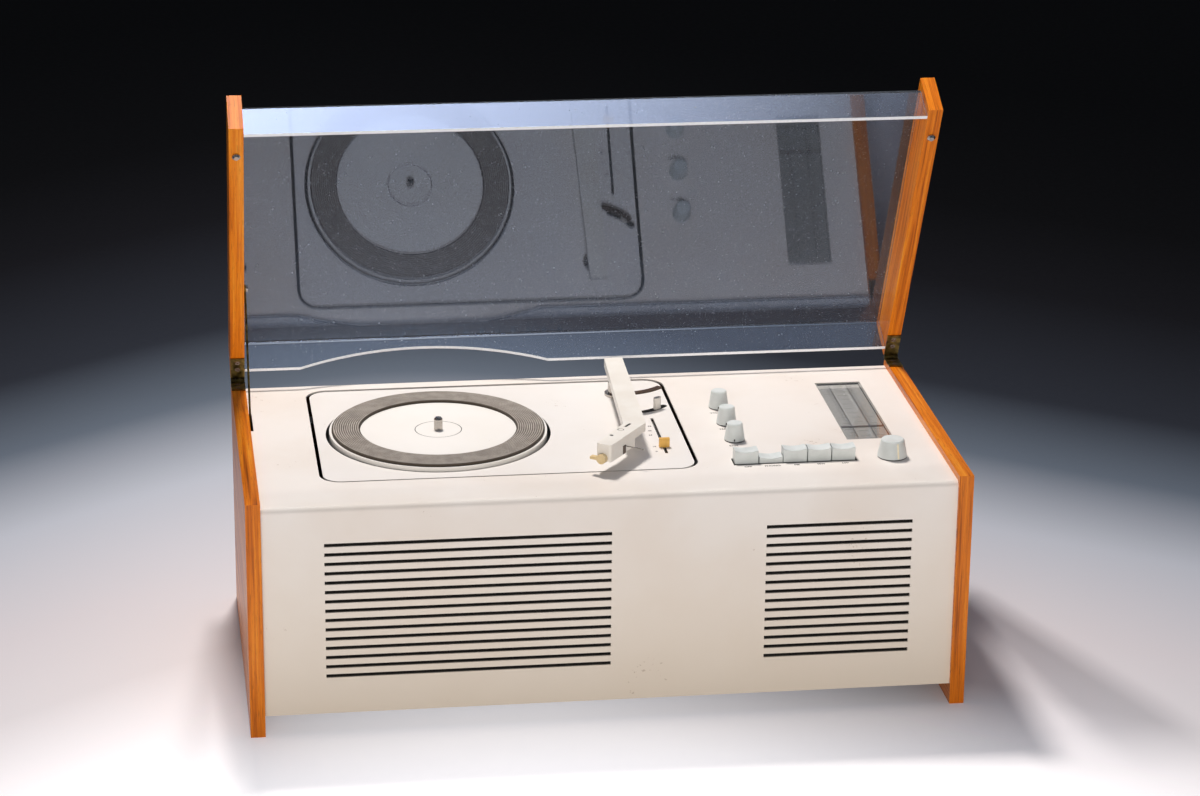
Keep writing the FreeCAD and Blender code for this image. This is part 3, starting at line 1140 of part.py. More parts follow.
# Lid cheeks: wooden strips that carry on the line of the side panels
STAY_X = f"(-{INSIDE} + stay_offset)"
STAY_RISE = "(stay_pivot_rise + lid_gap / 2)"
for side, x in SIDES.items():
    cheek = box(f"{side}_cheek_strip", x, "-panel_depth", "lid_gap / 2", "panel_thickness", "panel_depth",
                "cheek_height")
    bites = [knuckle_room(f"{side}_cheek_notch", x, "0", "0")]
    for number, (screw_x, screw_y) in enumerate(leaf_screw_places(x, "0", "upper_leaf_length")):
        bites.append(screw_holes(f"{side}_cheek_{number}", screw_x, screw_y, UPPER_SCREW_FACE, *HINGE_SCREW,
                                 False))
    if side == "left":
        bites.append(cylinder("stay_screw_hole", f"-{INSIDE} - stay_screw_depth", "-stay_pivot_reach",
                              STAY_RISE, "stay_screw_radius + seat_clearance",
                              "stay_screw_depth + overrun", "X"))
    node(f"{side}_lid_cheek", on_lid(cut(f"{side}_cheek_cut", cheek, *bites)))

# Clear cover: one bent sheet with a shallow arc cut from its rear wall for an overhanging record
COVER_FRONT = "(cover_front_inset - panel_depth)"
COVER_REAR = "(-cover_rear_inset)"
COVER_TOP = "(cover_rise + lid_gap / 2)"
COVER_FOOT = "(cover_lift + lid_gap / 2)"
cover = prism("cover_sheet", "YZ_Plane", [
    (COVER_FRONT, COVER_FOOT), (COVER_FRONT, COVER_TOP), (COVER_REAR, COVER_TOP), (COVER_REAR, COVER_FOOT),
    (f"{COVER_REAR} - cover_thickness", COVER_FOOT),
    (f"{COVER_REAR} - cover_thickness", f"{COVER_TOP} - cover_thickness"),
    (f"{COVER_FRONT} + cover_thickness", f"{COVER_TOP} - cover_thickness"),
    (f"{COVER_FRONT} + cover_thickness", COVER_FOOT)],
    f"2 * {INSIDE} - 2 * cover_side_gap",
    [((1, 2), "cover_bend_radius"), ((5, 6), "cover_bend_radius - cover_thickness")])
place(cover, f"-{INSIDE} + cover_side_gap", "0", "0")
record_notch = cylinder("record_notch", PLATTER_X, f"{COVER_REAR} - cover_thickness - overrun",
                        f"{COVER_FOOT} + notch_depth - notch_radius", "notch_radius",
                        "cover_thickness + 2 * overrun", "Y")
node("lid_cover", on_lid(cut("cover_cut", cover, record_notch)))

# Butt hinges: the lower leaf has the two outer knuckles, the upper leaf the middle one
THIRD = "(panel_thickness / 3)"


def leaf(label, x, y, z, leaf_length, leaf_z, own_thirds, other_thirds, screw_face, downwards):
    """Flat leaf with its knuckles, cleared round the knuckles of the other leaf."""
    plate = box(f"{label}_plate", x, f"{y} - {leaf_length}", leaf_z, "panel_thickness", leaf_length,
                "leaf_thickness")
    clear = [cylinder(f"{label}_clear_{third}", f"{x} + {third} * {THIRD} - knuckle_gap / 2", y, z,
                      "knuckle_radius + knuckle_clearance", f"{THIRD} + knuckle_gap", "X")
             for third in other_thirds]
    knuckles = [cylinder(f"{label}_knuckle_{third}", f"{x} + {third} * {THIRD} + knuckle_gap / 2", y, z,
                         "knuckle_radius", f"{THIRD} - knuckle_gap", "X") for third in own_thirds]
    bores = [cylinder(f"{label}_bore", f"{x} - overrun", y, z, "hinge_pin_radius + running_clearance",
                      "panel_thickness + 2 * overrun", "X")]
    for number, (screw_x, screw_y) in enumerate(leaf_screw_places(x, y, leaf_length)):
        bores.append(screw_holes(f"{label}_{number}", screw_x, screw_y, screw_face, *HINGE_SCREW, downwards))
    blank = fuse(f"{label}_blank", cut(f"{label}_bare", plate, *clear), *knuckles)
    return cut(f"{label}_leaf", blank, *bores)


lower_leaves, upper_leaves, pins, lower_screws, upper_screws, bumpers = [], [], [], [], [], []
for side, x in SIDES.items():
    lower_leaves.append(leaf(f"{side}_lower", x, REAR, HINGE_HEIGHT, "lower_leaf_length", "panel_height",
                             (0, 2), (1,), LOWER_SCREW_FACE, True))
    upper_leaves.append(leaf(f"{side}_upper", x, "0", "0", "upper_leaf_length", UPPER_SCREW_FACE,
                             (1,), (0, 2), UPPER_SCREW_FACE, False))
    pins.append(cylinder(f"{side}_hinge_pin", x, REAR, HINGE_HEIGHT, "hinge_pin_radius", "panel_thickness",
                         "X"))
    for number, place_xy in enumerate(leaf_screw_places(x, REAR, "lower_leaf_length")):
        lower_screws.append(slotted_screw(f"{side}_low_{number}", *place_xy, LOWER_SCREW_FACE, *HINGE_SCREW,
                                          True))
    for number, place_xy in enumerate(leaf_screw_places(x, "0", "upper_leaf_length")):
        upper_screws.append(slotted_screw(f"{side}_up_{number}", *place_xy, UPPER_SCREW_FACE, *HINGE_SCREW,
                                          False))
    bumpers.append(turned(f"{side}_bumper", [
        ("0", "0"), ("bumper_crown_radius", "0"), ("bumper_radius", "bumper_crown"),
        ("bumper_radius", "lid_gap - bumper_clear"), ("0", "lid_gap - bumper_clear")],
        f"{x} + panel_thickness / 2", "bumper_from_front - panel_depth", "bumper_clear - lid_gap / 2"))
node("hinge_lower_leaves", group("lower_leaf_pair", *lower_leaves))
node("hinge_upper_leaves", on_lid(group("upper_leaf_pair", *upper_leaves)))
node("hinge_pins", group("hinge_pin_pair", *pins))
node("hinge_lower_screws", group("lower_screw_set", *lower_screws))
node("hinge_upper_screws", on_lid(group("upper_screw_set", *upper_screws)))
node("lid_bumpers", on_lid(group("bumper_pair", *bumpers)))

# Lid stay: a rod with an eye, hung on a screw in the left cheek and passing down through the deck
EYE_LEFT = "(-stay_eye_thickness / 2)"
eye = cylinder("stay_eye", EYE_LEFT, "0", "0", "stay_eye_radius", "stay_eye_thickness", "X")
rod = cylinder("stay_wire", "0", "0", "-stay_length", "stay_rod_radius", "stay_length")
eye_bore = cylinder("stay_eye_bore", f"{EYE_LEFT} - overrun", "0", "0",
                    "stay_screw_radius + running_clearance", "stay_eye_thickness + 2 * overrun", "X")
stay = rotate(cut("stay_cut", fuse("stay_blank", eye, rod), eye_bore), (-1, 0, 0), "stay_lean")
node("stay_rod", place(
    stay, STAY_X,
    f"{REAR} - stay_pivot_reach * cos(lid_open_angle) + {STAY_RISE} * sin(lid_open_angle)",
    f"{HINGE_HEIGHT} + stay_pivot_reach * sin(lid_open_angle) + {STAY_RISE} * cos(lid_open_angle)"))
HEAD_FACE = f"({STAY_X} + stay_eye_thickness / 2 + sliding_clearance)"
node("stay_pivot_screw", on_lid(fuse(
    "stay_screw_solid",
    cylinder("stay_screw_shank", f"-{INSIDE} - stay_screw_depth", "-stay_pivot_reach", STAY_RISE,
             "stay_screw_radius", f"{HEAD_FACE} + {INSIDE} + stay_screw_depth", "X"),
    cylinder("stay_screw_head", HEAD_FACE, "-stay_pivot_reach", STAY_RISE, "stay_screw_head_radius",
             "stay_screw_head_height", "X"))))

# Rebuild, check every object and write one file for each sub-part
doc.recompute()
for item in doc.Objects:
    if "Invalid" in item.State or "Error" in item.State:
        raise RuntimeError(f"{item.Label} did not rebuild: {item.State}")
for label, item in nodes.items():
    if item.Shape.isNull() or not item.Shape.isValid() or not item.Shape.Solids:
        raise RuntimeError(f"{label} has no sound solid")
os.makedirs("parts", exist_ok=True)
for label, item in nodes.items():
    item.Shape.exportStep(f"parts/{label}.step")
print(len(nodes), "sub-parts,", sum(len(item.Shape.Solids) for item in nodes.values()), "solids")
whole = Part.makeCompound([item.Shape for item in nodes.values()]).BoundBox
print("box from", [round(edge, 3) for edge in (whole.XMin, whole.YMin, whole.ZMin)])
print("box to", [round(edge, 3) for edge in (whole.XMax, whole.YMax, whole.ZMax)])
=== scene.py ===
import math

import bmesh
import bpy
from mathutils import Matrix, Vector


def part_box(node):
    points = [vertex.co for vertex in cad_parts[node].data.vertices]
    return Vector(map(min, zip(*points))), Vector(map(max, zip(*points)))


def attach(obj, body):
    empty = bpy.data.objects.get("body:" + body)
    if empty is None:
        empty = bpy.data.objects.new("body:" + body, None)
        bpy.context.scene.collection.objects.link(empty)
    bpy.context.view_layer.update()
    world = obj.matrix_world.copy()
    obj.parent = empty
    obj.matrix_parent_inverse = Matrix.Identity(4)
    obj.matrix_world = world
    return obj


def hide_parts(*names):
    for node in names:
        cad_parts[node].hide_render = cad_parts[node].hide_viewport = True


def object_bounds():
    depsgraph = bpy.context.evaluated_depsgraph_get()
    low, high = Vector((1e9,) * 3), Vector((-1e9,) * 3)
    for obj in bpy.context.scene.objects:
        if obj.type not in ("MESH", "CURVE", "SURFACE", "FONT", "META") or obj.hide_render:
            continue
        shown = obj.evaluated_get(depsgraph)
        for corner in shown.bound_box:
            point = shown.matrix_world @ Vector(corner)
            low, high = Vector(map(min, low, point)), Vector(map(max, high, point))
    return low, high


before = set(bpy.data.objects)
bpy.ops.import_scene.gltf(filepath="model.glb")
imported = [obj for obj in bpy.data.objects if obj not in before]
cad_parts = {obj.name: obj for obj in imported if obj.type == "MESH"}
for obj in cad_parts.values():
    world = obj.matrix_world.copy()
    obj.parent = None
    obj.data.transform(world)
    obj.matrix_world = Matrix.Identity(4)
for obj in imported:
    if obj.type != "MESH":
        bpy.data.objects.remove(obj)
cad_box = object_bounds()


# Studio: one large sheet of paper lies under the radiogram, its colour painted pale in front and dark behind
# it as painted light fall-off.
# A wide ceiling panel and a small lamp hang above and behind, a gridded panel gives the lid its gleam,
# and a large low panel stands far in front.
mm = 0.001


def linear(hex_colour):
    """An sRGB hex colour as linear RGBA."""
    channels = [int(hex_colour[i:i + 2], 16) / 255 for i in (0, 2, 4)]
    return [c / 12.92 if c <= 0.04045 else ((c + 0.055) / 1.055) ** 2.4 for c in channels] + [1.0]


def add(tree, kind, inputs=None, stops=None, **settings):
    """Adds one node with its settings; an input is a plain value or another node's output."""
    node = tree.nodes.new(kind)
    for name, value in settings.items():
        setattr(node, name, value)
    for name, value in (inputs or {}).items():
        if isinstance(value, bpy.types.NodeSocket):
            tree.links.new(value, node.inputs[name])
        else:
            node.inputs[name].default_value = value
    if stops:
        elements = node.color_ramp.elements
        while len(elements) < len(stops):
            elements.new(0.5)
        for element, (place, colour) in zip(elements, stops):
            element.position = place
            element.color = linear(colour)
    return node


def new_finish(name, **sockets):
    """A material with its shader's even values set; returns material, node tree and shader."""
    material = bpy.data.materials.new(name)
    material.use_nodes = True
    tree = material.node_tree
    shader = tree.nodes["Principled BSDF"]
    for socket, value in sockets.items():
        shader.inputs[socket.replace("_", " ")].default_value = value
    return material, tree, shader


def feed(tree, shader, **outputs):
    """Links the outputs of nodes to the shader's sockets."""
    for socket, output in outputs.items():
        tree.links.new(output, shader.inputs[socket.replace("_", " ")])


def new_object(name, mesh, material):
    """Puts a mesh or curve into the scene with its material."""
    thing = bpy.data.objects.new(name, mesh)
    mesh.materials.append(material)
    bpy.context.collection.objects.link(thing)
    return thing


# Matt paper: no gloss and a faint fibre. Painted light fall-off: its colour falls from near white in front to
# black behind, sooner at the sides. Lengths here are in metres.
tone_middle, tone_bend, tone_sweep = -0.1, 0.7, 0.72
tone_start, tone_end = -0.26, 2.44
paper, tree, shader = new_finish("paper_painted_light_falloff", Specular_IOR_Level=0.1)
coords = add(tree, "ShaderNodeTexCoord")
place = add(tree, "ShaderNodeSeparateXYZ", {0: coords.outputs["Object"]})
right_of = add(tree, "ShaderNodeMath", {0: place.outputs["X"], 1: -tone_middle}, operation="ADD")
left_of = add(tree, "ShaderNodeMath", {0: right_of.outputs[0], 1: -1.0}, operation="MULTIPLY")
away = add(tree, "ShaderNodeMath", {
    0: right_of.outputs[0], 1: left_of.outputs[0], 2: tone_bend}, operation="SMOOTH_MAX")
spread = add(tree, "ShaderNodeMath", {
    0: away.outputs[0], 1: tone_sweep, 2: place.outputs["Y"]}, operation="MULTIPLY_ADD")
grade = add(tree, "ShaderNodeMapRange", {
    "Value": spread.outputs[0], "From Min": tone_start, "From Max": tone_end})
shade = add(tree, "ShaderNodeValToRGB", {0: grade.outputs[0]}, stops=[
    (0.06, "F4F2F5"), (0.22, "CECAD0"), (0.31, "AFB3BE"), (0.39, "59626F"),
    (0.47, "282B33"), (0.62, "151519"), (0.75, "0B0B0D"), (1.0, "050506")])
fibre = add(tree, "ShaderNodeTexNoise", {
    "Vector": coords.outputs["Object"], "Scale": 1 / (8 * mm), "Detail": 4.0})
grit = add(tree, "ShaderNodeMapRange", {"Value": fibre.outputs[0], "To Min": 0.8, "To Max": 0.95})
# Painted glow: in front the paper shows white to the eye, to mirrors and through glass, and throws no light
# on the object.
near = add(tree, "ShaderNodeMapRange", {
    "Value": grade.outputs[0], "From Min": 0.16, "From Max": 0.03, "To Max": 0.75})
seen = add(tree, "ShaderNodeLightPath")
direct = add(tree, "ShaderNodeMath", {
    0: seen.outputs["Is Camera Ray"], 1: seen.outputs["Is Glossy Ray"]}, operation="ADD")
shown = add(tree, "ShaderNodeMath", {
    0: direct.outputs[0], 1: seen.outputs["Is Transmission Ray"]}, operation="ADD", use_clamp=True)
painted_glow = add(tree, "ShaderNodeMath", {0: near.outputs[0], 1: shown.outputs[0]}, operation="MULTIPLY")
feed(tree, shader, Base_Color=shade.outputs[0], Roughness=grit.outputs[0],
     Emission_Color=shade.outputs[0], Emission_Strength=painted_glow.outputs[0])
half = 8.0
floor_mesh = bpy.data.meshes.new("paper_floor")
floor_mesh.from_pydata(
    [(-half, -half, 0), (half, -half, 0), (half, half, 0), (-half, half, 0)], [], [(0, 1, 2, 3)])
new_object("paper_floor", floor_mesh, paper)

world = bpy.data.worlds.new("studio")
world.use_nodes = True
sky = world.node_tree.nodes["Background"]
sky.inputs["Color"].default_value = linear("C3CBDA")
sky.inputs["Strength"].default_value = 0.2
bpy.context.scene.world = world
bpy.context.scene.view_settings.view_transform = "Standard"


def soft_lamp(name, place, aim, width, depth, watts, colour):
    """A rectangular lamp at a place, turned towards a point."""
    light = bpy.data.lights.new(name, "AREA")
    light.shape = "RECTANGLE"
    light.size = width
    light.size_y = depth
    light.energy = watts
    light.color = linear(colour)[:3]
    lamp = bpy.data.objects.new(name, light)
    lamp.location = place
    lamp.rotation_euler = (Vector(aim) - Vector(place)).to_track_quat("-Z", "Y").to_euler()
    bpy.context.collection.objects.link(lamp)
    return lamp


ceiling_panel = soft_lamp("ceiling_panel", (0.15, 0.45, 2.3), aim=(0.1, 0.2, 0.2),
                          width=3.0, depth=2.0, watts=7.0, colour="E9F0FF")
top_lamp = soft_lamp("top_lamp", (-0.17, 0.86, 1.95), aim=(0, 0, 0.15),
                     width=0.26, depth=0.26, watts=43.5, colour="FFF8F0")
grid_panel = soft_lamp("grid_panel", (0.1, 0.7, 2.3), aim=(0.035, 0.0, 0.455),
                       width=2.0, depth=0.65, watts=0.46, colour="E0E8FC")
grid_panel.data.spread = math.radians(20)
front_panel = soft_lamp("front_panel", (-1.1, -6.0, 0.95), aim=(0, 0, 0.15),
                        width=3.5, depth=1.85, watts=176.0, colour="FFF8F0")
# Only the gridded panel shows in mirrors and gloss, and it lights nothing else.
for lamp in (top_lamp, grid_panel):
    lamp.visible_transmission = False
for lamp in (top_lamp, ceiling_panel, front_panel):
    lamp.visible_glossy = False
grid_panel.visible_diffuse = False

# The camera's directions and place were worked out from the object's straight edges and its round platter.
ahead = Vector((0.13052514, 0.93208620, -0.33790311))
right = Vector((0.99075961, -0.13529622, 0.00950361))
up = Vector((0.03685883, 0.33602121, 0.94113292))
lens = bpy.data.cameras.new("camera")
lens.sensor_width = 36.0
lens.lens = 105.895
camera = bpy.data.objects.new("camera", lens)
camera.matrix_world = Matrix((right, up, -ahead)).transposed().to_4x4()
camera.matrix_world.translation = (-0.373888, -2.744947, 1.214206)
bpy.context.collection.objects.link(camera)
bpy.context.scene.camera = camera


# Side panels and lid cheeks: 12 mm boards faced and edged with elm veneer, sprayed with clear lacquer.
# The panels carry the housing and are the feet; the cheeks are cut from the same board and hinged to them.
def dress(material, *names):
    """Gives CAD nodes their finish."""
    for name in names:
        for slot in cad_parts[name].material_slots:
            slot.material = material


def lacquered_elm(name, lean):
    """Elm under satin lacquer: orange-brown, darker growth streaks and fine open pores along the grain.
    Grain runs along the board on faces and long edges, and upright on the front and rear edges."""
    material, tree, shader = new_finish(
        name, IOR=1.5, Specular_IOR_Level=0.12, Coat_Weight=0.3, Coat_Roughness=0.12)
    coords = add(tree, "ShaderNodeTexCoord")
    turned = add(tree, "ShaderNodeVectorRotate", {
        "Vector": coords.outputs["Object"], "Angle": lean}, rotation_type="X_AXIS")
    facing = add(tree, "ShaderNodeVectorRotate", {
        "Vector": coords.outputs["Normal"], "Angle": lean}, rotation_type="X_AXIS")
    place = add(tree, "ShaderNodeSeparateXYZ", {0: turned.outputs[0]})
    side = add(tree, "ShaderNodeSeparateXYZ", {0: facing.outputs[0]})
    depth = add(tree, "ShaderNodeMath", {0: side.outputs["Y"]}, operation="ABSOLUTE")
    end = add(tree, "ShaderNodeMath", {0: depth.outputs[0], 1: 0.6}, operation="GREATER_THAN")
    along = add(tree, "ShaderNodeMix", {0: end.outputs[0], 2: place.outputs["Y"], 3: place.outputs["Z"]})
    across = add(tree, "ShaderNodeMix", {0: end.outputs[0], 2: place.outputs["Z"], 3: place.outputs["Y"]})
    board = add(tree, "ShaderNodeCombineXYZ", {
        0: place.outputs["X"], 1: along.outputs[0], 2: across.outputs[0]})
    # Streaks, broad bands and pores: width and length in millimetres, and detail
    layers = []
    for width, length, detail in ((2.4, 110, 5.0), (10, 300, 2.0), (0.55, 12, 2.0)):
        stretch = [1 / (width * mm), 1 / (length * mm), 1 / (width * mm)]
        grain = add(tree, "ShaderNodeMapping", {"Vector": board.outputs[0], "Scale": stretch})
        layers.append(add(tree, "ShaderNodeTexNoise", {
            "Vector": grain.outputs[0], "Scale": 1.0, "Detail": detail, "Distortion": 0.5}))
    streaks, bands, pores = layers
    growth = add(tree, "ShaderNodeMix", {0: 0.42, 2: streaks.outputs[0], 3: bands.outputs[0]})
    colour = add(tree, "ShaderNodeValToRGB", {0: growth.outputs[0]}, stops=[
        (0.34, "7F3C06"), (0.43, "C4640A"), (0.53, "DE7C14"), (0.66, "EE9A2C")])
    pore = add(tree, "ShaderNodeMapRange", {"Value": pores.outputs[0], "From Min": 0.58, "From Max": 0.72})
    pore_tone = add(tree, "ShaderNodeMath", {0: pore.outputs[0], 1: 0.55}, operation="MULTIPLY")
    wood = add(tree, "ShaderNodeMix", {
        0: pore_tone.outputs[0], 6: colour.outputs[0], 7: linear("6F3A12")}, data_type="RGBA")
    rough = add(tree, "ShaderNodeMapRange", {"Value": growth.outputs[0], "To Min": 0.5, "To Max": 0.34})
    relief = add(tree, "ShaderNodeBump", {
        "Height": pore.outputs[0], "Distance": 0.06 * mm, "Strength": 0.5}, invert=True)
    feed(tree, shader, Base_Color=wood.outputs[2], Roughness=rough.outputs[0], Normal=relief.outputs[0])
    return material


lid_lean = math.radians(63)
dress(lacquered_elm("lacquered_elm", 0.0), "left_side_panel", "right_side_panel")
dress(lacquered_elm("lacquered_elm_lid", lid_lean), "left_lid_cheek", "right_lid_cheek")


# Housing, turntable plate and platter: 1 to 2 mm sheet steel, folded or pressed, and stove-enamelled.
# The housing is screwed between the side panels, the plate floats on rubber in its opening,
# and the platter is set down on its bearing.
def stoved_enamel(name, fresh, aged, low, foot, shade_below):
    """Stoved enamel: an even pale coat with slight orange peel, cloudy yellowing and a few rust specks.
    Below the given height the sheet is painted near black: painted shade, as inside the platter's well."""
    material, tree, shader = new_finish(name, IOR=1.5, Coat_Weight=0.12, Coat_Roughness=0.2)
    coords = add(tree, "ShaderNodeTexCoord")
    at = coords.outputs["Object"]
    cloud = add(tree, "ShaderNodeTexNoise", {"Vector": at, "Scale": 1 / (110 * mm), "Detail": 4.0})
    yellow = add(tree, "ShaderNodeMapRange", {
        "Value": cloud.outputs[0], "From Min": 0.42, "From Max": 0.75})
    base = add(tree, "ShaderNodeMix", {
        0: yellow.outputs[0], 6: linear(fresh), 7: linear(aged)}, data_type="RGBA")
    place = add(tree, "ShaderNodeSeparateXYZ", {0: at})
    # The colour grows darker and yellower towards the part's foot.
    fall = add(tree, "ShaderNodeMapRange", {
        "Value": place.outputs["Z"], "From Min": 185 * mm, "From Max": 15 * mm, "To Max": foot})
    toward_foot = add(tree, "ShaderNodeMix", {
        0: fall.outputs[0], 6: base.outputs[2], 7: linear(low)}, data_type="RGBA")
    cells = add(tree, "ShaderNodeTexVoronoi", {"Vector": at, "Scale": 1 / (15 * mm)})
    dot = add(tree, "ShaderNodeMath", {0: cells.outputs["Distance"], 1: 0.03}, operation="LESS_THAN")
    some = add(tree, "ShaderNodeMath", {0: cells.outputs["Color"], 1: 0.62}, operation="GREATER_THAN")
    speck = add(tree, "ShaderNodeMath", {0: dot.outputs[0], 1: some.outputs[0]}, operation="MULTIPLY")
    faint = add(tree, "ShaderNodeMath", {0: speck.outputs[0], 1: 0.5}, operation="MULTIPLY")
    coat = add(tree, "ShaderNodeMix", {
        0: faint.outputs[0], 6: toward_foot.outputs[2], 7: linear("8C6F55")}, data_type="RGBA")
    chips = add(tree, "ShaderNodeTexNoise", {
        "Vector": at, "Scale": 1 / (5 * mm), "Detail": 6.0, "Roughness": 0.7})
    area = add(tree, "ShaderNodeTexNoise", {"Vector": at, "Scale": 1 / (55 * mm), "Detail": 1.0})
    both = add(tree, "ShaderNodeMath", {0: chips.outputs[0], 1: area.outputs[0]}, operation="MULTIPLY")
    chip = add(tree, "ShaderNodeMapRange", {
        "Value": both.outputs[0], "From Min": 0.445, "From Max": 0.47, "To Max": 0.45})
    chipped = add(tree, "ShaderNodeMix", {
        0: chip.outputs[0], 6: coat.outputs[2], 7: linear("9A7E62")}, data_type="RGBA")
    # Painted shade: near black below the given height, inside the platter's well.
    under = add(tree, "ShaderNodeMath", {0: place.outputs["Z"], 1: shade_below}, operation="LESS_THAN")
    sheet = add(tree, "ShaderNodeMix", {
        0: under.outputs[0], 6: chipped.outputs[2], 7: linear("171615")}, data_type="RGBA")
    film = add(tree, "ShaderNodeTexNoise", {"Vector": at, "Scale": 1 / (26 * mm), "Detail": 3.0})
    rough = add(tree, "ShaderNodeMapRange", {"Value": film.outputs[0], "To Min": 0.36, "To Max": 0.56})
    peel = add(tree, "ShaderNodeTexNoise", {"Vector": at, "Scale": 1 / (1.1 * mm), "Detail": 1.0})
    relief = add(tree, "ShaderNodeBump", {
        "Height": peel.outputs[0], "Distance": 0.02 * mm, "Strength": 0.25})
    feed(tree, shader, Base_Color=sheet.outputs[2], Roughness=rough.outputs[0], Normal=relief.outputs[0])
    return material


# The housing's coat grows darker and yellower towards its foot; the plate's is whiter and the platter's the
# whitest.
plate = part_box("turntable_plate")[1].z
plate_sheet, no_shade_below = 1.2 * mm, -1.0
dress(stoved_enamel("yellowed_stove_enamel", fresh="F0EAE4", aged="E9DFD5", low="E0D2BE", foot=0.85,
                    shade_below=no_shade_below), "housing_shell")
dress(stoved_enamel("white_stove_enamel", fresh="EEEAE6", aged="E8E2DB", low="E6DACA", foot=0.0,
                    shade_below=plate - plate_sheet), "turntable_plate")
dress(stoved_enamel("white_platter_enamel", fresh="F6F3EE", aged="F1ECE5", low="E6DACA", foot=0.0,
                    shade_below=no_shade_below), "platter")


# Grille cloth: black woven cotton glued behind the housing's slots, so no light shows from inside.
# Threads are drawn at 1.2 mm, about twice as coarse as they are, so that the weave shows at all.
# The cotton is matt, with a trace of sheen on its raised threads.
thread = 1.2 * mm
cloth, tree, shader = new_finish("black_cotton", Sheen_Weight=0.15, Specular_IOR_Level=0.2)
coords = add(tree, "ShaderNodeTexCoord")
warp, weft = [add(tree, "ShaderNodeTexWave", {
    "Vector": coords.outputs["Object"], "Scale": math.pi / (20 * thread),
    "Distortion": 0.6, "Detail": 1.0}, bands_direction=way) for way in ("X", "Z")]
weave = add(tree, "ShaderNodeMath", {
    0: warp.outputs["Fac"], 1: weft.outputs["Fac"]}, operation="MULTIPLY")
colour = add(tree, "ShaderNodeValToRGB", {0: weave.outputs[0]}, stops=[(0.1, "0E0D0C"), (0.8, "24211E")])
rough = add(tree, "ShaderNodeMapRange", {"Value": weave.outputs[0], "To Min": 0.95, "To Max": 0.75})
relief = add(tree, "ShaderNodeBump", {"Height": weave.outputs[0], "Distance": 0.3 * mm, "Strength": 0.6})
feed(tree, shader, Base_Color=colour.outputs[0], Roughness=rough.outputs[0], Normal=relief.outputs[0])
dress(cloth, "grille_cloths")


# Floor and back: a zinc-plated steel floor plate, a pressed hardboard back with vents, held by steel screws,
# a moulded bakelite socket strip and a rubber grommet where the mains lead leaves.
def two_tone(name, pale, dark, fleck, rough, dent, stretch=(1, 1, 1), **sockets):
    """An even finish with the small mottling of its material: colour, roughness and relief from one noise.
    The size of a fleck and the depth of a dent are in millimetres."""
    material, tree, shader = new_finish(name, **sockets)
    coords = add(tree, "ShaderNodeTexCoord")
    scale = [way / (fleck * mm) for way in stretch]
    drawn = add(tree, "ShaderNodeMapping", {"Vector": coords.outputs["Object"], "Scale": scale})
    mottle = add(tree, "ShaderNodeTexNoise", {"Vector": drawn.outputs[0], "Scale": 1.0, "Detail": 4.0})
    colour = add(tree, "ShaderNodeValToRGB", {0: mottle.outputs[0]}, stops=[(0.35, dark), (0.65, pale)])
    rub = add(tree, "ShaderNodeMapRange", {
        "Value": mottle.outputs[0], "From Min": 0.3, "From Max": 0.7, "To Min": rough[0], "To Max": rough[1]})
    relief = add(tree, "ShaderNodeBump", {
        "Height": mottle.outputs[0], "Distance": dent * mm, "Strength": 0.4})
    feed(tree, shader, Base_Color=colour.outputs[0], Roughness=rub.outputs[0], Normal=relief.outputs[0])
    return material


# Zinc plating: a dull bluish silver with a broad, faint spangle.
zinc = two_tone("zinc_plated_steel", "BDBFC0", "9DA0A2", fleck=14, rough=(0.32, 0.5), dent=0.02, Metallic=1.0)
# Tempered hardboard: matt brown, with the short fibres of the pressed pulp.
hardboard = two_tone("tempered_hardboard", "7D5638", "5A3A25", fleck=1.6, rough=(0.62, 0.8), dent=0.12)
# Bakelite: brown-black with the gloss of the mould.
bakelite = two_tone("black_bakelite", "26221F", "171514", fleck=5, rough=(0.28, 0.45), dent=0.02, IOR=1.55)
# Rubber: a dull black that has bloomed a little.
soft_rubber = two_tone("black_rubber", "2A2927", "1B1A19", fleck=2, rough=(0.65, 0.85), dent=0.06)
# Plain screw steel: grey, with rust in its slot and round its head.
screw_steel = two_tone("rusted_screw_steel", "A8A093", "7B4A27", fleck=1.3, rough=(0.4, 0.7), dent=0.05,
                       Metallic=0.75)
dress(zinc, "base_plate")
dress(hardboard, "rear_board")
dress(screw_steel, "rear_board_screws")
dress(bakelite, "socket_strip")
dress(soft_rubber, "cord_grommet")


# Loudspeaker: a pressed steel basket, a felted paper cone and a cast magnet, behind the left grille.
# It is bolted to the housing from inside; only its edge can be guessed through the slots.
# Hammer paint: a grey gloss coat with small dimples.
hammer_paint = two_tone("grey_hammer_paint", "7F8486", "686D70", fleck=3, rough=(0.35, 0.55), dent=0.08,
                        Coat_Weight=0.2)
# Felted paper: soft dark grey with no gloss at all.
cone_paper = two_tone("felted_cone_paper", "3A3733", "262320", fleck=1.2, rough=(0.85, 0.95), dent=0.15)
# Cast iron: dark, dull and grainy, as it left the sand.
magnet_iron = two_tone("cast_magnet_iron", "56544F", "3E3C39", fleck=2.2, rough=(0.5, 0.7), dent=0.1,
                       Metallic=0.8)
dress(hammer_paint, "speaker_basket")
dress(cone_paper, "speaker_cone")
dress(magnet_iron, "speaker_magnet")


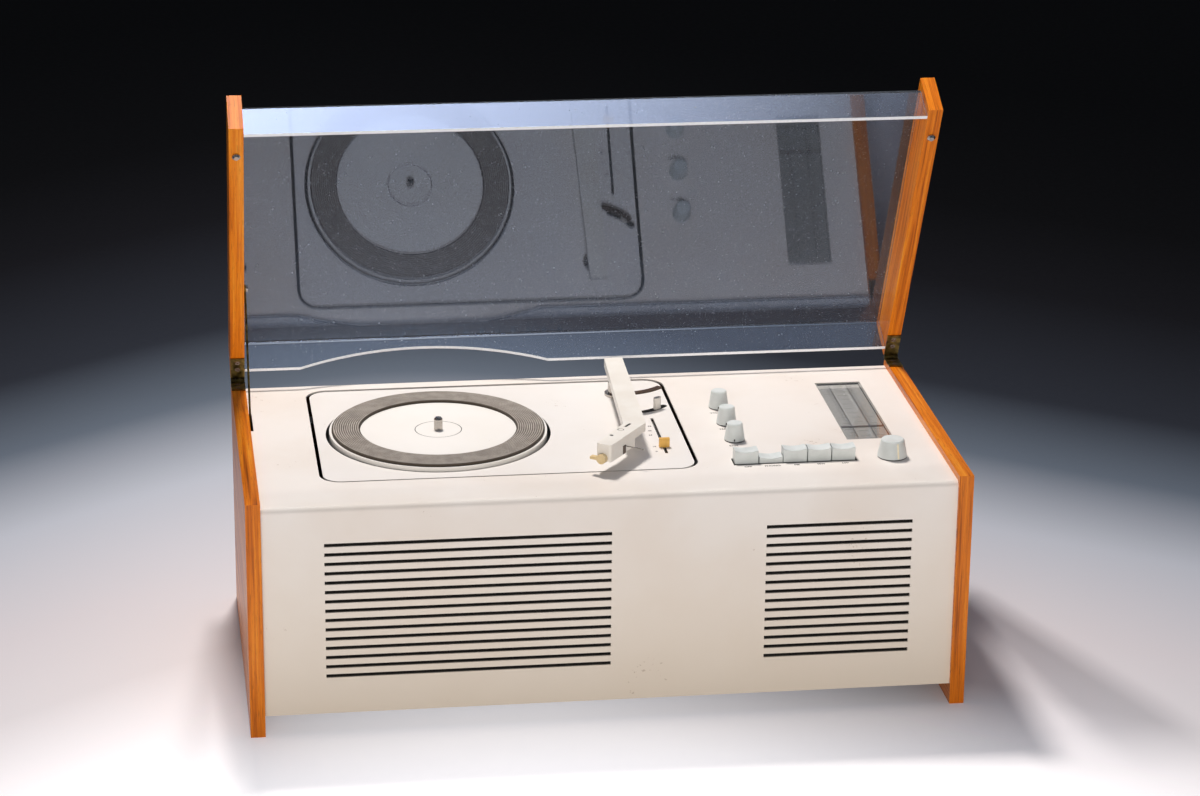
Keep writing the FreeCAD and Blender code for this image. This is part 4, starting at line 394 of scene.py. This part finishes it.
# Radio: a painted chassis with transformers, glass valves and an aluminium tuning capacitor screwed to it.
# Plated potentiometers, a tuning bush and a moulded switch bank hang under the deck.
# All of it is out of sight with the back closed.
def clear_sheet(name, tint, ior, scratch, wear, clear=1.0, gleam="FFFFFF", polish=0.0, dust=0.12):
    """A clear solid: sharp mirror and see-through, dulled by fine hairline scratches, dust and wipe marks.
    The width of a scratch is in millimetres, and it is sixty times as long."""
    material, tree, shader = new_finish(
        name, IOR=ior, Transmission_Weight=clear, Specular_Tint=linear(gleam), Coat_Weight=polish,
        Coat_Roughness=0.0, Base_Color=linear(tint))
    coords = add(tree, "ShaderNodeTexCoord")
    at = coords.outputs["Object"]
    stretch = [1 / (scratch * mm), 1 / (60 * scratch * mm), 1 / (scratch * mm)]
    hair = add(tree, "ShaderNodeMapping", {"Vector": at, "Rotation": (0.4, 0.2, 0.9), "Scale": stretch})
    lines = add(tree, "ShaderNodeTexNoise", {"Vector": hair.outputs[0], "Scale": 1.0, "Detail": 2.0})
    cut = add(tree, "ShaderNodeMapRange", {"Value": lines.outputs[0], "From Min": 0.69, "From Max": 0.75})
    cells = add(tree, "ShaderNodeTexVoronoi", {"Vector": at, "Scale": 1 / (9 * mm)})
    near = add(tree, "ShaderNodeMath", {0: cells.outputs["Distance"], 1: 0.07}, operation="LESS_THAN")
    few = add(tree, "ShaderNodeMath", {0: cells.outputs["Color"], 1: 0.55}, operation="GREATER_THAN")
    grain = add(tree, "ShaderNodeMath", {0: near.outputs[0], 1: few.outputs[0]}, operation="MULTIPLY")
    marks = add(tree, "ShaderNodeMath", {0: cut.outputs[0], 1: grain.outputs[0]}, operation="MAXIMUM")
    wipe = add(tree, "ShaderNodeTexNoise", {"Vector": at, "Scale": 1 / (70 * mm), "Detail": 5.0})
    haze = add(tree, "ShaderNodeMapRange", {
        "Value": wipe.outputs[0], "From Min": 0.45, "From Max": 0.8, "To Max": wear})
    rough = add(tree, "ShaderNodeMath", {
        0: marks.outputs[0], 1: dust, 2: haze.outputs[0]}, operation="MULTIPLY_ADD")
    relief = add(tree, "ShaderNodeBump", {
        "Height": marks.outputs[0], "Distance": 0.01 * mm, "Strength": 0.3}, invert=True)
    feed(tree, shader, Roughness=rough.outputs[0], Normal=relief.outputs[0])
    # Shadow rays pass straight through, as light does through a thin clear sheet.
    path = add(tree, "ShaderNodeLightPath")
    lit = add(tree, "ShaderNodeBsdfTransparent", {"Color": linear("FDFDFE")})
    both = add(tree, "ShaderNodeMixShader", {
        0: path.outputs["Is Shadow Ray"], 1: shader.outputs[0], 2: lit.outputs[0]})
    tree.links.new(both.outputs[0], tree.nodes["Material Output"].inputs["Surface"])
    return material


# Blown glass: clear, faintly green-grey and sharp in its highlights.
valve_glass = clear_sheet("blown_valve_glass", "E4E8E6", ior=1.51, scratch=2.0, wear=0.03)
# Brushed aluminium: pale silver, its fine scratches all running one way.
brushed_aluminium = two_tone("brushed_aluminium", "C4C6C8", "A6A8AA", fleck=0.6, rough=(0.25, 0.42),
                             dent=0.02, stretch=(1, 30, 30), Metallic=1.0)
dress(hammer_paint, "radio_chassis", "transformers")
dress(valve_glass, "valves")
dress(brushed_aluminium, "tuning_capacitor")
dress(zinc, "tuning_bush", "control_potentiometers")
dress(bakelite, "button_switch_bank")


# Drive: a painted motor under the turntable plate, a turned brass pulley on its shaft, a rubber idler wheel
# and the platter's brass bearing. The plate stands on zinc-plated brackets with rubber mounts.
# Aged brass: dull yellow, gone brown in patches.
aged_brass = two_tone("aged_brass", "A08A4C", "5F5130", fleck=5, rough=(0.34, 0.58), dent=0.04, Metallic=1.0)
dress(hammer_paint, "drive_motor")
dress(aged_brass, "motor_pulley", "platter_bearing")
dress(soft_rubber, "idler_wheel", "suspension_mounts")
dress(zinc, "plate_brackets")


# Spindle, pillar and arm yoke: turned steel, nickel-plated, pressed or screwed into the turntable plate.
# Nickel plating: a soft, warm, bright grey with fine turning marks.
plated = two_tone("nickel_plated_steel", "CFCAC4", "A9A39C", fleck=0.8, rough=(0.16, 0.3), dent=0.015,
                  stretch=(1, 1, 6), Metallic=1.0)
dress(plated, "spindle", "tonearm_pillar", "tonearm_yoke")


# Platter mat: a moulded rubber ring with fine concentric ribs that the record lies on, set on the platter.
# The rubber has greyed with age; painted shade darkens its valleys and its inner and outer walls.
def make_piece(name, mesh, material):
    """Turns a finished bmesh into a piece of the scene."""
    data = bpy.data.meshes.new(name)
    mesh.to_mesh(data)
    mesh.free()
    return new_object(name, data, material)


def lathe(name, profile, centre, steps, material):
    """Turns a closed profile of radius and height points round an upright axis."""
    mesh = bmesh.new()
    rings = []
    for step in range(steps):
        angle = 2 * math.pi * step / steps
        ring = [mesh.verts.new((centre[0] + r * math.cos(angle), centre[1] + r * math.sin(angle), z))
                for r, z in profile]
        rings.append(ring)
    for step in range(steps):
        near, far = rings[step], rings[(step + 1) % steps]
        for i in range(len(profile)):
            j = (i + 1) % len(profile)
            mesh.faces.new((near[i], far[i], far[j], near[j]))
    bmesh.ops.remove_doubles(mesh, verts=mesh.verts, dist=1e-4 * mm)
    bmesh.ops.delete(mesh, geom=[e for e in mesh.edges if not e.link_faces], context="EDGES")
    bmesh.ops.recalc_face_normals(mesh, faces=mesh.faces)
    piece = make_piece(name, mesh, material)
    piece.data.shade_smooth()
    piece.data.set_sharp_from_angle(angle=math.radians(35))
    return piece


low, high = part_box("platter_mat")
middle = (low + high) / 2
outer, inner = (high.x - low.x) / 2, 65 * mm
rib_count, rib_height, edge = 12, 0.75 * mm, 0.9 * mm
rib_pitch = (outer - inner - 2 * edge) / rib_count
valley = high.z - rib_height
profile = [(inner, low.z), (inner, high.z - edge)]
for rib in range(rib_count):
    start = inner + edge + rib * rib_pitch
    profile += [(start, valley), (start + 0.3 * rib_pitch, high.z), (start + 0.7 * rib_pitch, high.z)]
profile += [(outer - edge, valley), (outer, high.z - edge), (outer, low.z)]
# Greyed rubber: pale grey mottling on the ribs' tops, with painted shade going dark brown down into the
# valleys between them.
mat_rubber, tree, shader = new_finish("greyed_mat_rubber", IOR=1.5, Specular_IOR_Level=0.35)
coords = add(tree, "ShaderNodeTexCoord")
place = add(tree, "ShaderNodeSeparateXYZ", {0: coords.outputs["Object"]})
height = add(tree, "ShaderNodeMapRange", {
    "Value": place.outputs["Z"], "From Min": valley, "From Max": high.z})
bloom = add(tree, "ShaderNodeTexNoise", {
    "Vector": coords.outputs["Object"], "Scale": 1 / (9 * mm), "Detail": 5.0})
grey = add(tree, "ShaderNodeValToRGB", {0: bloom.outputs[0]}, stops=[(0.35, "A69E96"), (0.65, "BCB4AB")])
tone = add(tree, "ShaderNodeMix", {
    0: height.outputs[0], 6: linear("433B32"), 7: grey.outputs[0]}, data_type="RGBA")
rough = add(tree, "ShaderNodeMapRange", {"Value": bloom.outputs[0], "To Min": 0.45, "To Max": 0.7})
grain = add(tree, "ShaderNodeTexNoise", {
    "Vector": coords.outputs["Object"], "Scale": 1 / (0.6 * mm), "Detail": 2.0})
relief = add(tree, "ShaderNodeBump", {"Height": grain.outputs[0], "Distance": 0.04 * mm, "Strength": 0.4})
feed(tree, shader, Base_Color=tone.outputs[2], Roughness=rough.outputs[0], Normal=relief.outputs[0])
ribbed_mat = lathe("ribbed_mat", profile, middle, 180, mat_rubber)
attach(ribbed_mat, "platter_body")
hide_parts("platter_mat")


# Platter ring: a fine line of grey lacquer run into the groove turned round the spindle,
# by which a record's label is centred.
groove, groove_width, groove_depth = 19 * mm, 0.7 * mm, 0.5 * mm
slack, brim, dip = 0.02 * mm, 0.06 * mm, 0.12 * mm
near_wall, far_wall = groove + slack, groove + groove_width - slack
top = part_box("platter")[1].z
# Line lacquer: satin dark grey, a little hollow where it dried.
ring_lacquer = two_tone("grey_line_lacquer", "5D5A57", "48453F", fleck=2, rough=(0.45, 0.6), dent=0.01)
centre_ring = lathe("centre_ring", [
    (near_wall, top - groove_depth), (far_wall, top - groove_depth), (far_wall, top - brim),
    (groove + groove_width / 2, top - dip), (near_wall, top - brim)], middle, 120, ring_lacquer)
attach(centre_ring, "platter_body")


# Tonearm: a moulded styrene arm with a deep head, a cartridge slid in from the side and a turn-over knob.
# Two round inserts and a slot bar of black phenolic are pressed into the top of the head.
# Ivory styrene: glossy warm white, a little grubby.
ivory = two_tone("ivory_styrene", "F1EDE5", "ECE6DC", fleck=16, rough=(0.28, 0.42), dent=0.01, IOR=1.55,
                 Coat_Weight=0.1)
# Brown phenolic: dark and satin, with the mottling of its wood-flour filler.
brown_phenolic = two_tone("brown_phenolic", "5B4636", "3D2E23", fleck=3, rough=(0.35, 0.55), dent=0.03)
# Cream urea: smooth and half glossy, yellowed with age.
cream_urea = two_tone("cream_urea", "E6CFA0", "D9BE8C", fleck=4, rough=(0.3, 0.45), dent=0.02, IOR=1.55)
# Black phenolic: plain black with a satin face.
dark_insert = two_tone("black_moulded_phenolic", "1F1C1A", "141211", fleck=1.5, rough=(0.4, 0.6), dent=0.02)
dress(ivory, "tonearm")
dress(brown_phenolic, "cartridge", "arm_rest")
dress(cream_urea, "turnover_knob")
head_angle = math.radians(37)
backward = Vector((math.sin(head_angle), math.cos(head_angle), 0))
sideways = Vector((math.cos(head_angle), -math.sin(head_angle), 0))
head_tip = Vector((-1.696 * mm, -110.488 * mm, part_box("tonearm")[1].z))
inserts_aside, recess = 4.7 * mm, 1.2 * mm
arm_tip = head_tip - sideways * inserts_aside


def insert(name, radius, start, back):
    """A round or ring-shaped dark insert sunk in the top of the head, counted back from its tip."""
    face = arm_tip.z - 0.25 * mm
    profile = [(start, arm_tip.z - recess), (radius, arm_tip.z - recess), (radius, face - 0.15 * mm),
               (0.6 * radius + 0.4 * start, face), (start, face)]
    piece = lathe(name, profile, arm_tip + backward * back, 32, dark_insert)
    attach(piece, "arm")


insert("head_screw", 1.66 * mm, 0.0, 21.7 * mm)
insert("head_ring", 2.66 * mm, 2.04 * mm, 37 * mm)
slot_size = Matrix.Diagonal((2.1 * mm, 8.9 * mm, 0.9 * mm, 1))
slot_middle = arm_tip + backward * 49 * mm + Vector((0, 0, -0.75 * mm))
slot_turn = Matrix.Translation(slot_middle) @ Matrix.Rotation(-head_angle, 4, "Z")
slot_mesh = bmesh.new()
bmesh.ops.create_cube(slot_mesh, size=1.0, matrix=slot_turn @ slot_size)
bmesh.ops.bevel(slot_mesh, geom=slot_mesh.edges[:], offset=0.15 * mm, segments=2, affect="EDGES")
head_slot = make_piece("head_slot", slot_mesh, dark_insert)
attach(head_slot, "arm")


# Finger lift: a thin plated wire with a bead at its end, pressed into the right side of the head,
# by which the arm is picked up.
wire, bead, root, tip = 0.45 * mm, 0.72 * mm, 3 * mm, 16 * mm
finger_lift = lathe("finger_lift", [
    (0, -root), (wire, -root), (wire, tip - 1.6 * mm), (bead, tip - 1.1 * mm),
    (bead, tip - 0.4 * mm), (wire, tip), (0, tip)], (0, 0), 20, plated)
lift_foot = arm_tip + sideways * 11.1 * mm + backward * 27 * mm - Vector((0, 0, 9 * mm))
lift_turn = sideways.to_track_quat("Z", "Y").to_matrix().to_4x4()
finger_lift.data.transform(Matrix.Translation(lift_foot) @ lift_turn)
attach(finger_lift, "arm")


# Trip lever: a white moulded lever in a curved slot of the turntable plate, swung round the arm's pivot.
# The slot is drawn as a flat black felt band on the plate: painted shade, standing for the dark inside the
# slot.
# Wool felt: black and dead matt, with a hairy surface; here it serves only as painted shade.
painted_shade_felt = two_tone("black_painted_shade_felt", "211F1E", "121110", fleck=0.7, rough=(0.9, 0.98), dent=0.15)
pivot = Vector((35.504 * mm, 76.512 * mm, 0))


def polar(centre, radius, angle):
    """The point at a distance and bearing from a centre, on the level."""
    return centre + Vector((radius * math.cos(angle), radius * math.sin(angle), 0))


def arc_band(name, inner, outer, first, last, bottom, top, material):
    """A solid band of an arc round the arm's pivot, with rounded ends."""
    steps, end_steps = 24, 8
    ends, middle = (outer - inner) / 2, (inner + outer) / 2
    sweep = [first + (last - first) * i / steps for i in range(steps + 1)]
    turns = [math.pi * i / end_steps for i in range(1, end_steps)]
    plan = [polar(pivot, outer, angle) for angle in sweep]
    plan += [polar(polar(pivot, middle, last), ends, last + turn) for turn in turns]
    plan += [polar(pivot, inner, angle) for angle in reversed(sweep)]
    plan += [polar(polar(pivot, middle, first), ends, first + math.pi + turn) for turn in turns]
    mesh = bmesh.new()
    face = mesh.faces.new([mesh.verts.new((p.x, p.y, bottom)) for p in plan])
    grown = bmesh.ops.extrude_face_region(mesh, geom=[face])
    raised = [v for v in grown["geom"] if isinstance(v, bmesh.types.BMVert)]
    bmesh.ops.translate(mesh, vec=(0, 0, top - bottom), verts=raised)
    bmesh.ops.recalc_face_normals(mesh, faces=mesh.faces)
    piece = make_piece(name, mesh, material)
    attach(piece, "cabinet")
    return piece


# Painted shade: a flat black band on the plate where the slot's shade shows.
slot_shade_band = arc_band("trip_slot_painted_shade", 45.6 * mm, 51.6 * mm, math.radians(-70), math.radians(-43),
                       plate - 0.4 * mm, plate + 0.05 * mm, painted_shade_felt)
lever = arc_band("trip_lever", 46.6 * mm, 50.6 * mm, math.radians(-55), math.radians(-51),
                 plate - 0.3 * mm, plate + 10 * mm, ivory)


# Speed selector: a plated steel lever that slides along a slot of the turntable plate,
# with a small flat cap pushed onto its end.
# Tan urea: smooth and half glossy, the colour of mustard.
tan_urea = two_tone("tan_urea", "E9B75E", "DBA84F", fleck=4, rough=(0.3, 0.45), dent=0.02, IOR=1.55)
dress(plated, "speed_lever")
dress(tan_urea, "speed_lever_cap")


# Knobs and push buttons: moulded in styrene, pushed onto their spindles and levers.
# Under each knob lies a thin black felt washer: painted shade, standing for the dark gap and shadow at the
# knob's foot.
# Pale styrene: satin grey-white, a little cooler than the enamel round it.
pale_styrene = two_tone("pale_grey_styrene", "DEE3E2", "D3D9D7", fleck=10, rough=(0.34, 0.48), dent=0.012,
                        IOR=1.55)
dress(pale_styrene, "bass_knob", "treble_knob", "volume_knob", "tuning_knob",
      *[f"push_button_{i}" for i in range(1, 6)])
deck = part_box("housing_shell")[1].z
# Radius of each knob at its foot and at its head
small_knob, large_knob = (8.5 * mm, 6.5 * mm), (12.3 * mm, 9.5 * mm)
knob_radii = {"bass": small_knob, "treble": small_knob, "volume": small_knob, "tuning": large_knob}
felt = 0.7 * mm
for knob, (foot_radius, _) in knob_radii.items():
    low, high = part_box(knob + "_knob")
    outer = foot_radius - 0.25 * mm
    bore = 0.45 * outer
    # Painted shade: a black felt ring at the knob's foot.
    shade_washer = lathe(knob + "_felt", [
        (bore, deck), (outer, deck), (outer + 0.1 * mm, deck + felt / 2), (outer, deck + felt),
        (bore, deck + felt)], (low + high) / 2, 64, painted_shade_felt)
    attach(shade_washer, "cabinet")


# Index marks: a cream line inlaid down the side of the tuning knob, to read its setting.
# The three small knobs have only a short dark nick at the foot.
# Index lacquer: satin cream, a shade warmer than the knob.
cream_line = two_tone("cream_index_lacquer", "FBF4DA", "F4EBCC", fleck=2, rough=(0.4, 0.55), dent=0.01)
# Bearing in degrees, half the width, height and lacquer of each mark
nick = (-100, 0.5 * mm, 1.8 * mm, dark_insert)
index_marks = {"bass": nick, "treble": nick, "volume": nick,
               "tuning": (-77, 0.75 * mm, 12.1 * mm, cream_line)}
knob_lift, inlaid, proud = 0.8 * mm, 0.5 * mm, 0.12 * mm
for knob, (bearing, half_width, tall, lacquer) in index_marks.items():
    low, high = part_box(knob + "_knob")
    centre = (low + high) / 2
    turn = Matrix.Translation((centre.x, centre.y, 0)) @ Matrix.Rotation(math.radians(bearing), 4, "Z")
    foot_radius, head_radius = knob_radii[knob]
    slope = (foot_radius - head_radius) / (high.z - deck - knob_lift)
    foot = deck + 1.4 * mm
    points = []
    for z in (foot, foot + tall):
        radius = foot_radius - slope * (z - deck - knob_lift)
        points += [(radius + depth, side * half_width, z) for side in (-1, 1) for depth in (-inlaid, proud)]
    line_mesh = bmesh.new()
    corners = [line_mesh.verts.new(turn @ Vector(point)) for point in points]
    bmesh.ops.convex_hull(line_mesh, input=corners)
    index_line = make_piece(knob + "_index", line_mesh, lacquer)
    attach(index_line, knob + "_control")


# Felt lips: strips of black felt glued into the button slot, close in front of and behind the buttons,
# painted shade that stands for the dark inside the slot.
low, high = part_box("push_button_1")
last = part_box("push_button_5")[1]
front = cad_box[0].y
slot_front, slot_rear = front + 59 * mm, front + 75 * mm
bank_middle, half_slot = (low.x + last.x) / 2, 51.1 * mm
slot_left, slot_right = bank_middle - half_slot, bank_middle + half_slot
rub, sunk = 0.25 * mm, 0.6 * mm
near, far = low.y - rub, high.y + rub
shade_lips = bmesh.new()
for x0, x1, y0, y1 in ((slot_left, slot_right, slot_front, near), (slot_left, slot_right, far, slot_rear),
                       (slot_left, low.x - rub, near, far), (last.x + rub, slot_right, near, far)):
    spot = Matrix.Translation(((x0 + x1) / 2, (y0 + y1) / 2, deck - sunk))
    bmesh.ops.create_cube(shade_lips, size=1.0, matrix=spot @ Matrix.Diagonal((x1 - x0, y1 - y0, felt, 1)))
bmesh.ops.bevel(shade_lips, geom=shade_lips.edges[:], offset=0.08 * mm, segments=1, affect="EDGES")
slot_shade_felt = make_piece("slot_shade_felt", shade_lips, painted_shade_felt)
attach(slot_shade_felt, "cabinet")


# Tuning dial: a lacquered tray under flush glass, with the scale printed on the underside of the glass,
# and a thin pointer that a cord draws along.
# Window glass: flat, clear and lightly scratched by wiping.
dial_glass = clear_sheet("dial_window_glass", "F2F5F4", ior=1.5, scratch=1.2, wear=0.04)
dress(dial_glass, "dial_glass")
# Brushed lacquer: satin, streaked a little by the brush. It covers the upper face. The tray's near-black
# walls are painted shade in its well; the pointer's sides are grey.
for name, top_colour, side_colour, node in (
        ("grey_dial_lacquer", "BAB7B2", "2E2B29", "dial_scale_tray"),
        ("dark_red_pointer_lacquer", "4A2C2C", "8F8B86", "dial_pointer")):
    lacquer, tree, shader = new_finish(name)
    coords = add(tree, "ShaderNodeTexCoord")
    facing = add(tree, "ShaderNodeSeparateXYZ", {0: coords.outputs["Normal"]})
    upper = add(tree, "ShaderNodeMath", {0: facing.outputs["Z"], 1: 0.5}, operation="GREATER_THAN")
    brush = add(tree, "ShaderNodeTexNoise", {
        "Vector": coords.outputs["Object"], "Scale": 1 / (3 * mm), "Detail": 3.0})
    cover = add(tree, "ShaderNodeMapRange", {"Value": brush.outputs[0], "To Min": 0.88, "To Max": 1.0})
    painted = add(tree, "ShaderNodeMath", {0: upper.outputs[0], 1: cover.outputs[0]}, operation="MULTIPLY")
    colour = add(tree, "ShaderNodeMix", {
        0: painted.outputs[0], 6: linear(side_colour), 7: linear(top_colour)}, data_type="RGBA")
    rough = add(tree, "ShaderNodeMapRange", {"Value": brush.outputs[0], "To Min": 0.45, "To Max": 0.62})
    relief = add(tree, "ShaderNodeBump", {
        "Height": brush.outputs[0], "Distance": 0.02 * mm, "Strength": 0.4})
    feed(tree, shader, Base_Color=colour.outputs[2], Roughness=rough.outputs[0], Normal=relief.outputs[0])
    dress(lacquer, node)


def flat_marks(name, marks, base, thickness, material):
    """Thin printed bars, each given by its corners x0, x1, y0, y1, on a level face."""
    mesh = bmesh.new()
    for x0, x1, y0, y1 in marks:
        size = Matrix.Diagonal((x1 - x0, y1 - y0, thickness, 1))
        spot = Matrix.Translation(((x0 + x1) / 2, (y0 + y1) / 2, base + thickness / 2))
        bmesh.ops.create_cube(mesh, size=1.0, matrix=spot @ size)
    return make_piece(name, mesh, material)


# Screen ink: a matt film, black on the deck and softer grey on the scale.
print_ink = two_tone("black_screen_ink", "303032", "222224", fleck=0.8, rough=(0.55, 0.75), dent=0.01)
scale_ink = two_tone("grey_screen_ink", "68645F", "56524E", fleck=0.8, rough=(0.55, 0.75), dent=0.01)
low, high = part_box("dial_glass")
width, length = high.x - low.x, high.y - low.y
ink, line, outline = 0.04 * mm, 0.42 * mm, 0.6 * mm
rule_margin, tick_margin, ticks = 6 * mm, 10 * mm, 34
left_rule, right_rule = low.x + 0.27 * width, low.x + 0.66 * width
marks = [(x, x + line, low.y + rule_margin, high.y - rule_margin) for x in (left_rule, right_rule)]
for step in range(ticks):
    y = low.y + tick_margin + step * (length - 2 * tick_margin) / (ticks - 1)
    reach = (0.1 if step % 4 else 0.2) * width
    marks.append((left_rule - reach, left_rule, y, y + line))
    marks.append((right_rule, right_rule + reach, y, y + line))
    if step % 3 == 0:
        marks.append((low.x + 0.36 * width, low.x + 0.57 * width, y, y + line))
# Painted shade drawn as print: a black border along the far edge and the two sides of the glass, where the
# well's walls cast shade.
shade_border = [(low.x, high.x, high.y - outline, high.y), (low.x, low.x + outline, low.y, high.y - outline),
          (high.x - outline, high.x, low.y, high.y - outline)]
for name, bars, base, lacquer in (("dial_print", marks, low.z - ink, scale_ink),
                                  ("dial_border", shade_border, low.z - 2 * ink, print_ink)):
    piece = flat_marks(name, bars, base, ink, lacquer)
    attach(piece, "cabinet")


# Printed signs: small marks screened on the deck beside the controls, in black ink.
# Numbers stand by the speed slot, plain words and wave bands by knobs and buttons.
def sign(text, x, y, z, size):
    """One short printed word lying on a level face, its strokes a little bolder than the plain font's."""
    curve = bpy.data.curves.new("sign", "FONT")
    curve.body = text
    curve.size = size
    curve.extrude = ink / 2
    curve.offset = 0.02 * size
    curve.align_x = "CENTER"
    curve.align_y = "CENTER"
    piece = new_object("sign_" + text.lower(), curve, print_ink)
    piece.location = (x, y, z + ink / 2)
    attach(piece, "cabinet")


for text, x, depth in (("78", 51.8, 158.3), ("45", 50.6, 147.5), ("33", 49.5, 137.3), ("16", 48.6, 110),
                       ("0", 48.8, 98.7)):
    sign(text, x * mm, front + depth * mm, plate, 3.2 * mm)
for text, node in (("BASS", "bass_knob"), ("TREBLE", "treble_knob"), ("VOLUME", "volume_knob")):
    low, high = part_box(node)
    sign(text, (low.x + high.x) / 2 - 3 * mm, low.y - 5.5 * mm, deck, 3.4 * mm)
for text, node in (("OFF", 1), ("PHONO", 2), ("FM", 3), ("MW", 4), ("LW", 5)):
    low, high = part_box(f"push_button_{node}")
    sign(text, (low.x + high.x) / 2, low.y - 7.5 * mm, deck, 3.6 * mm)


# Hinges and lid stay: brass butt hinges, laid on the boards' edges and held by slotted steel screws.
# A thin brass rod, hung on a plated screw in the left cheek, holds the lid open.
# Two plated screws in the cheeks are the bumpers that the lid shuts on.
dress(aged_brass, "hinge_lower_leaves", "hinge_upper_leaves", "hinge_pins", "stay_rod")
dress(screw_steel, "hinge_lower_screws", "hinge_upper_screws")
dress(plated, "stay_pivot_screw", "lid_bumpers")


# Lid cover: one sheet of clear acrylic, folded hot into a shallow channel and screwed between the cheeks.
# Its sawn edges are left frosted, gather the light inside the sheet and show white.
# Clear acrylic: a sharp, cool mirror that stays see-through, with dust specks and hairline scratches.
acrylic = clear_sheet("clear_acrylic", "E6EFFB", ior=1.6, scratch=0.8, wear=0.003, clear=0.985,
                      gleam="C0D6FF", polish=0.6, dust=0.5)
dress(acrylic, "lid_cover")
lid_down = Vector((0, -math.sin(lid_lean), -math.cos(lid_lean)))
rims = bmesh.new()
rims.from_mesh(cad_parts["lid_cover"].data)
rims.normal_update()
top_of_cover = min(v.co.dot(lid_down) for v in rims.verts)
inside = top_of_cover + 6 * mm
hidden = [f for f in rims.faces
          if f.normal.dot(lid_down) < 0.5 or f.calc_center_median().dot(lid_down) < inside]
bmesh.ops.delete(rims, geom=hidden, context="FACES")
# Sawn acrylic: white and softly matt, as the saw left it.
frosted = two_tone("sawn_acrylic", "F1F4F8", "E2E7EE", fleck=1.5, rough=(0.45, 0.65), dent=0.03, IOR=1.49)
edges = make_piece("frosted_cover_edges", rims, frosted)
film = edges.modifiers.new("film", "SOLIDIFY")
film.thickness = 0.12 * mm
film.offset = 1.0
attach(edges, "lid")
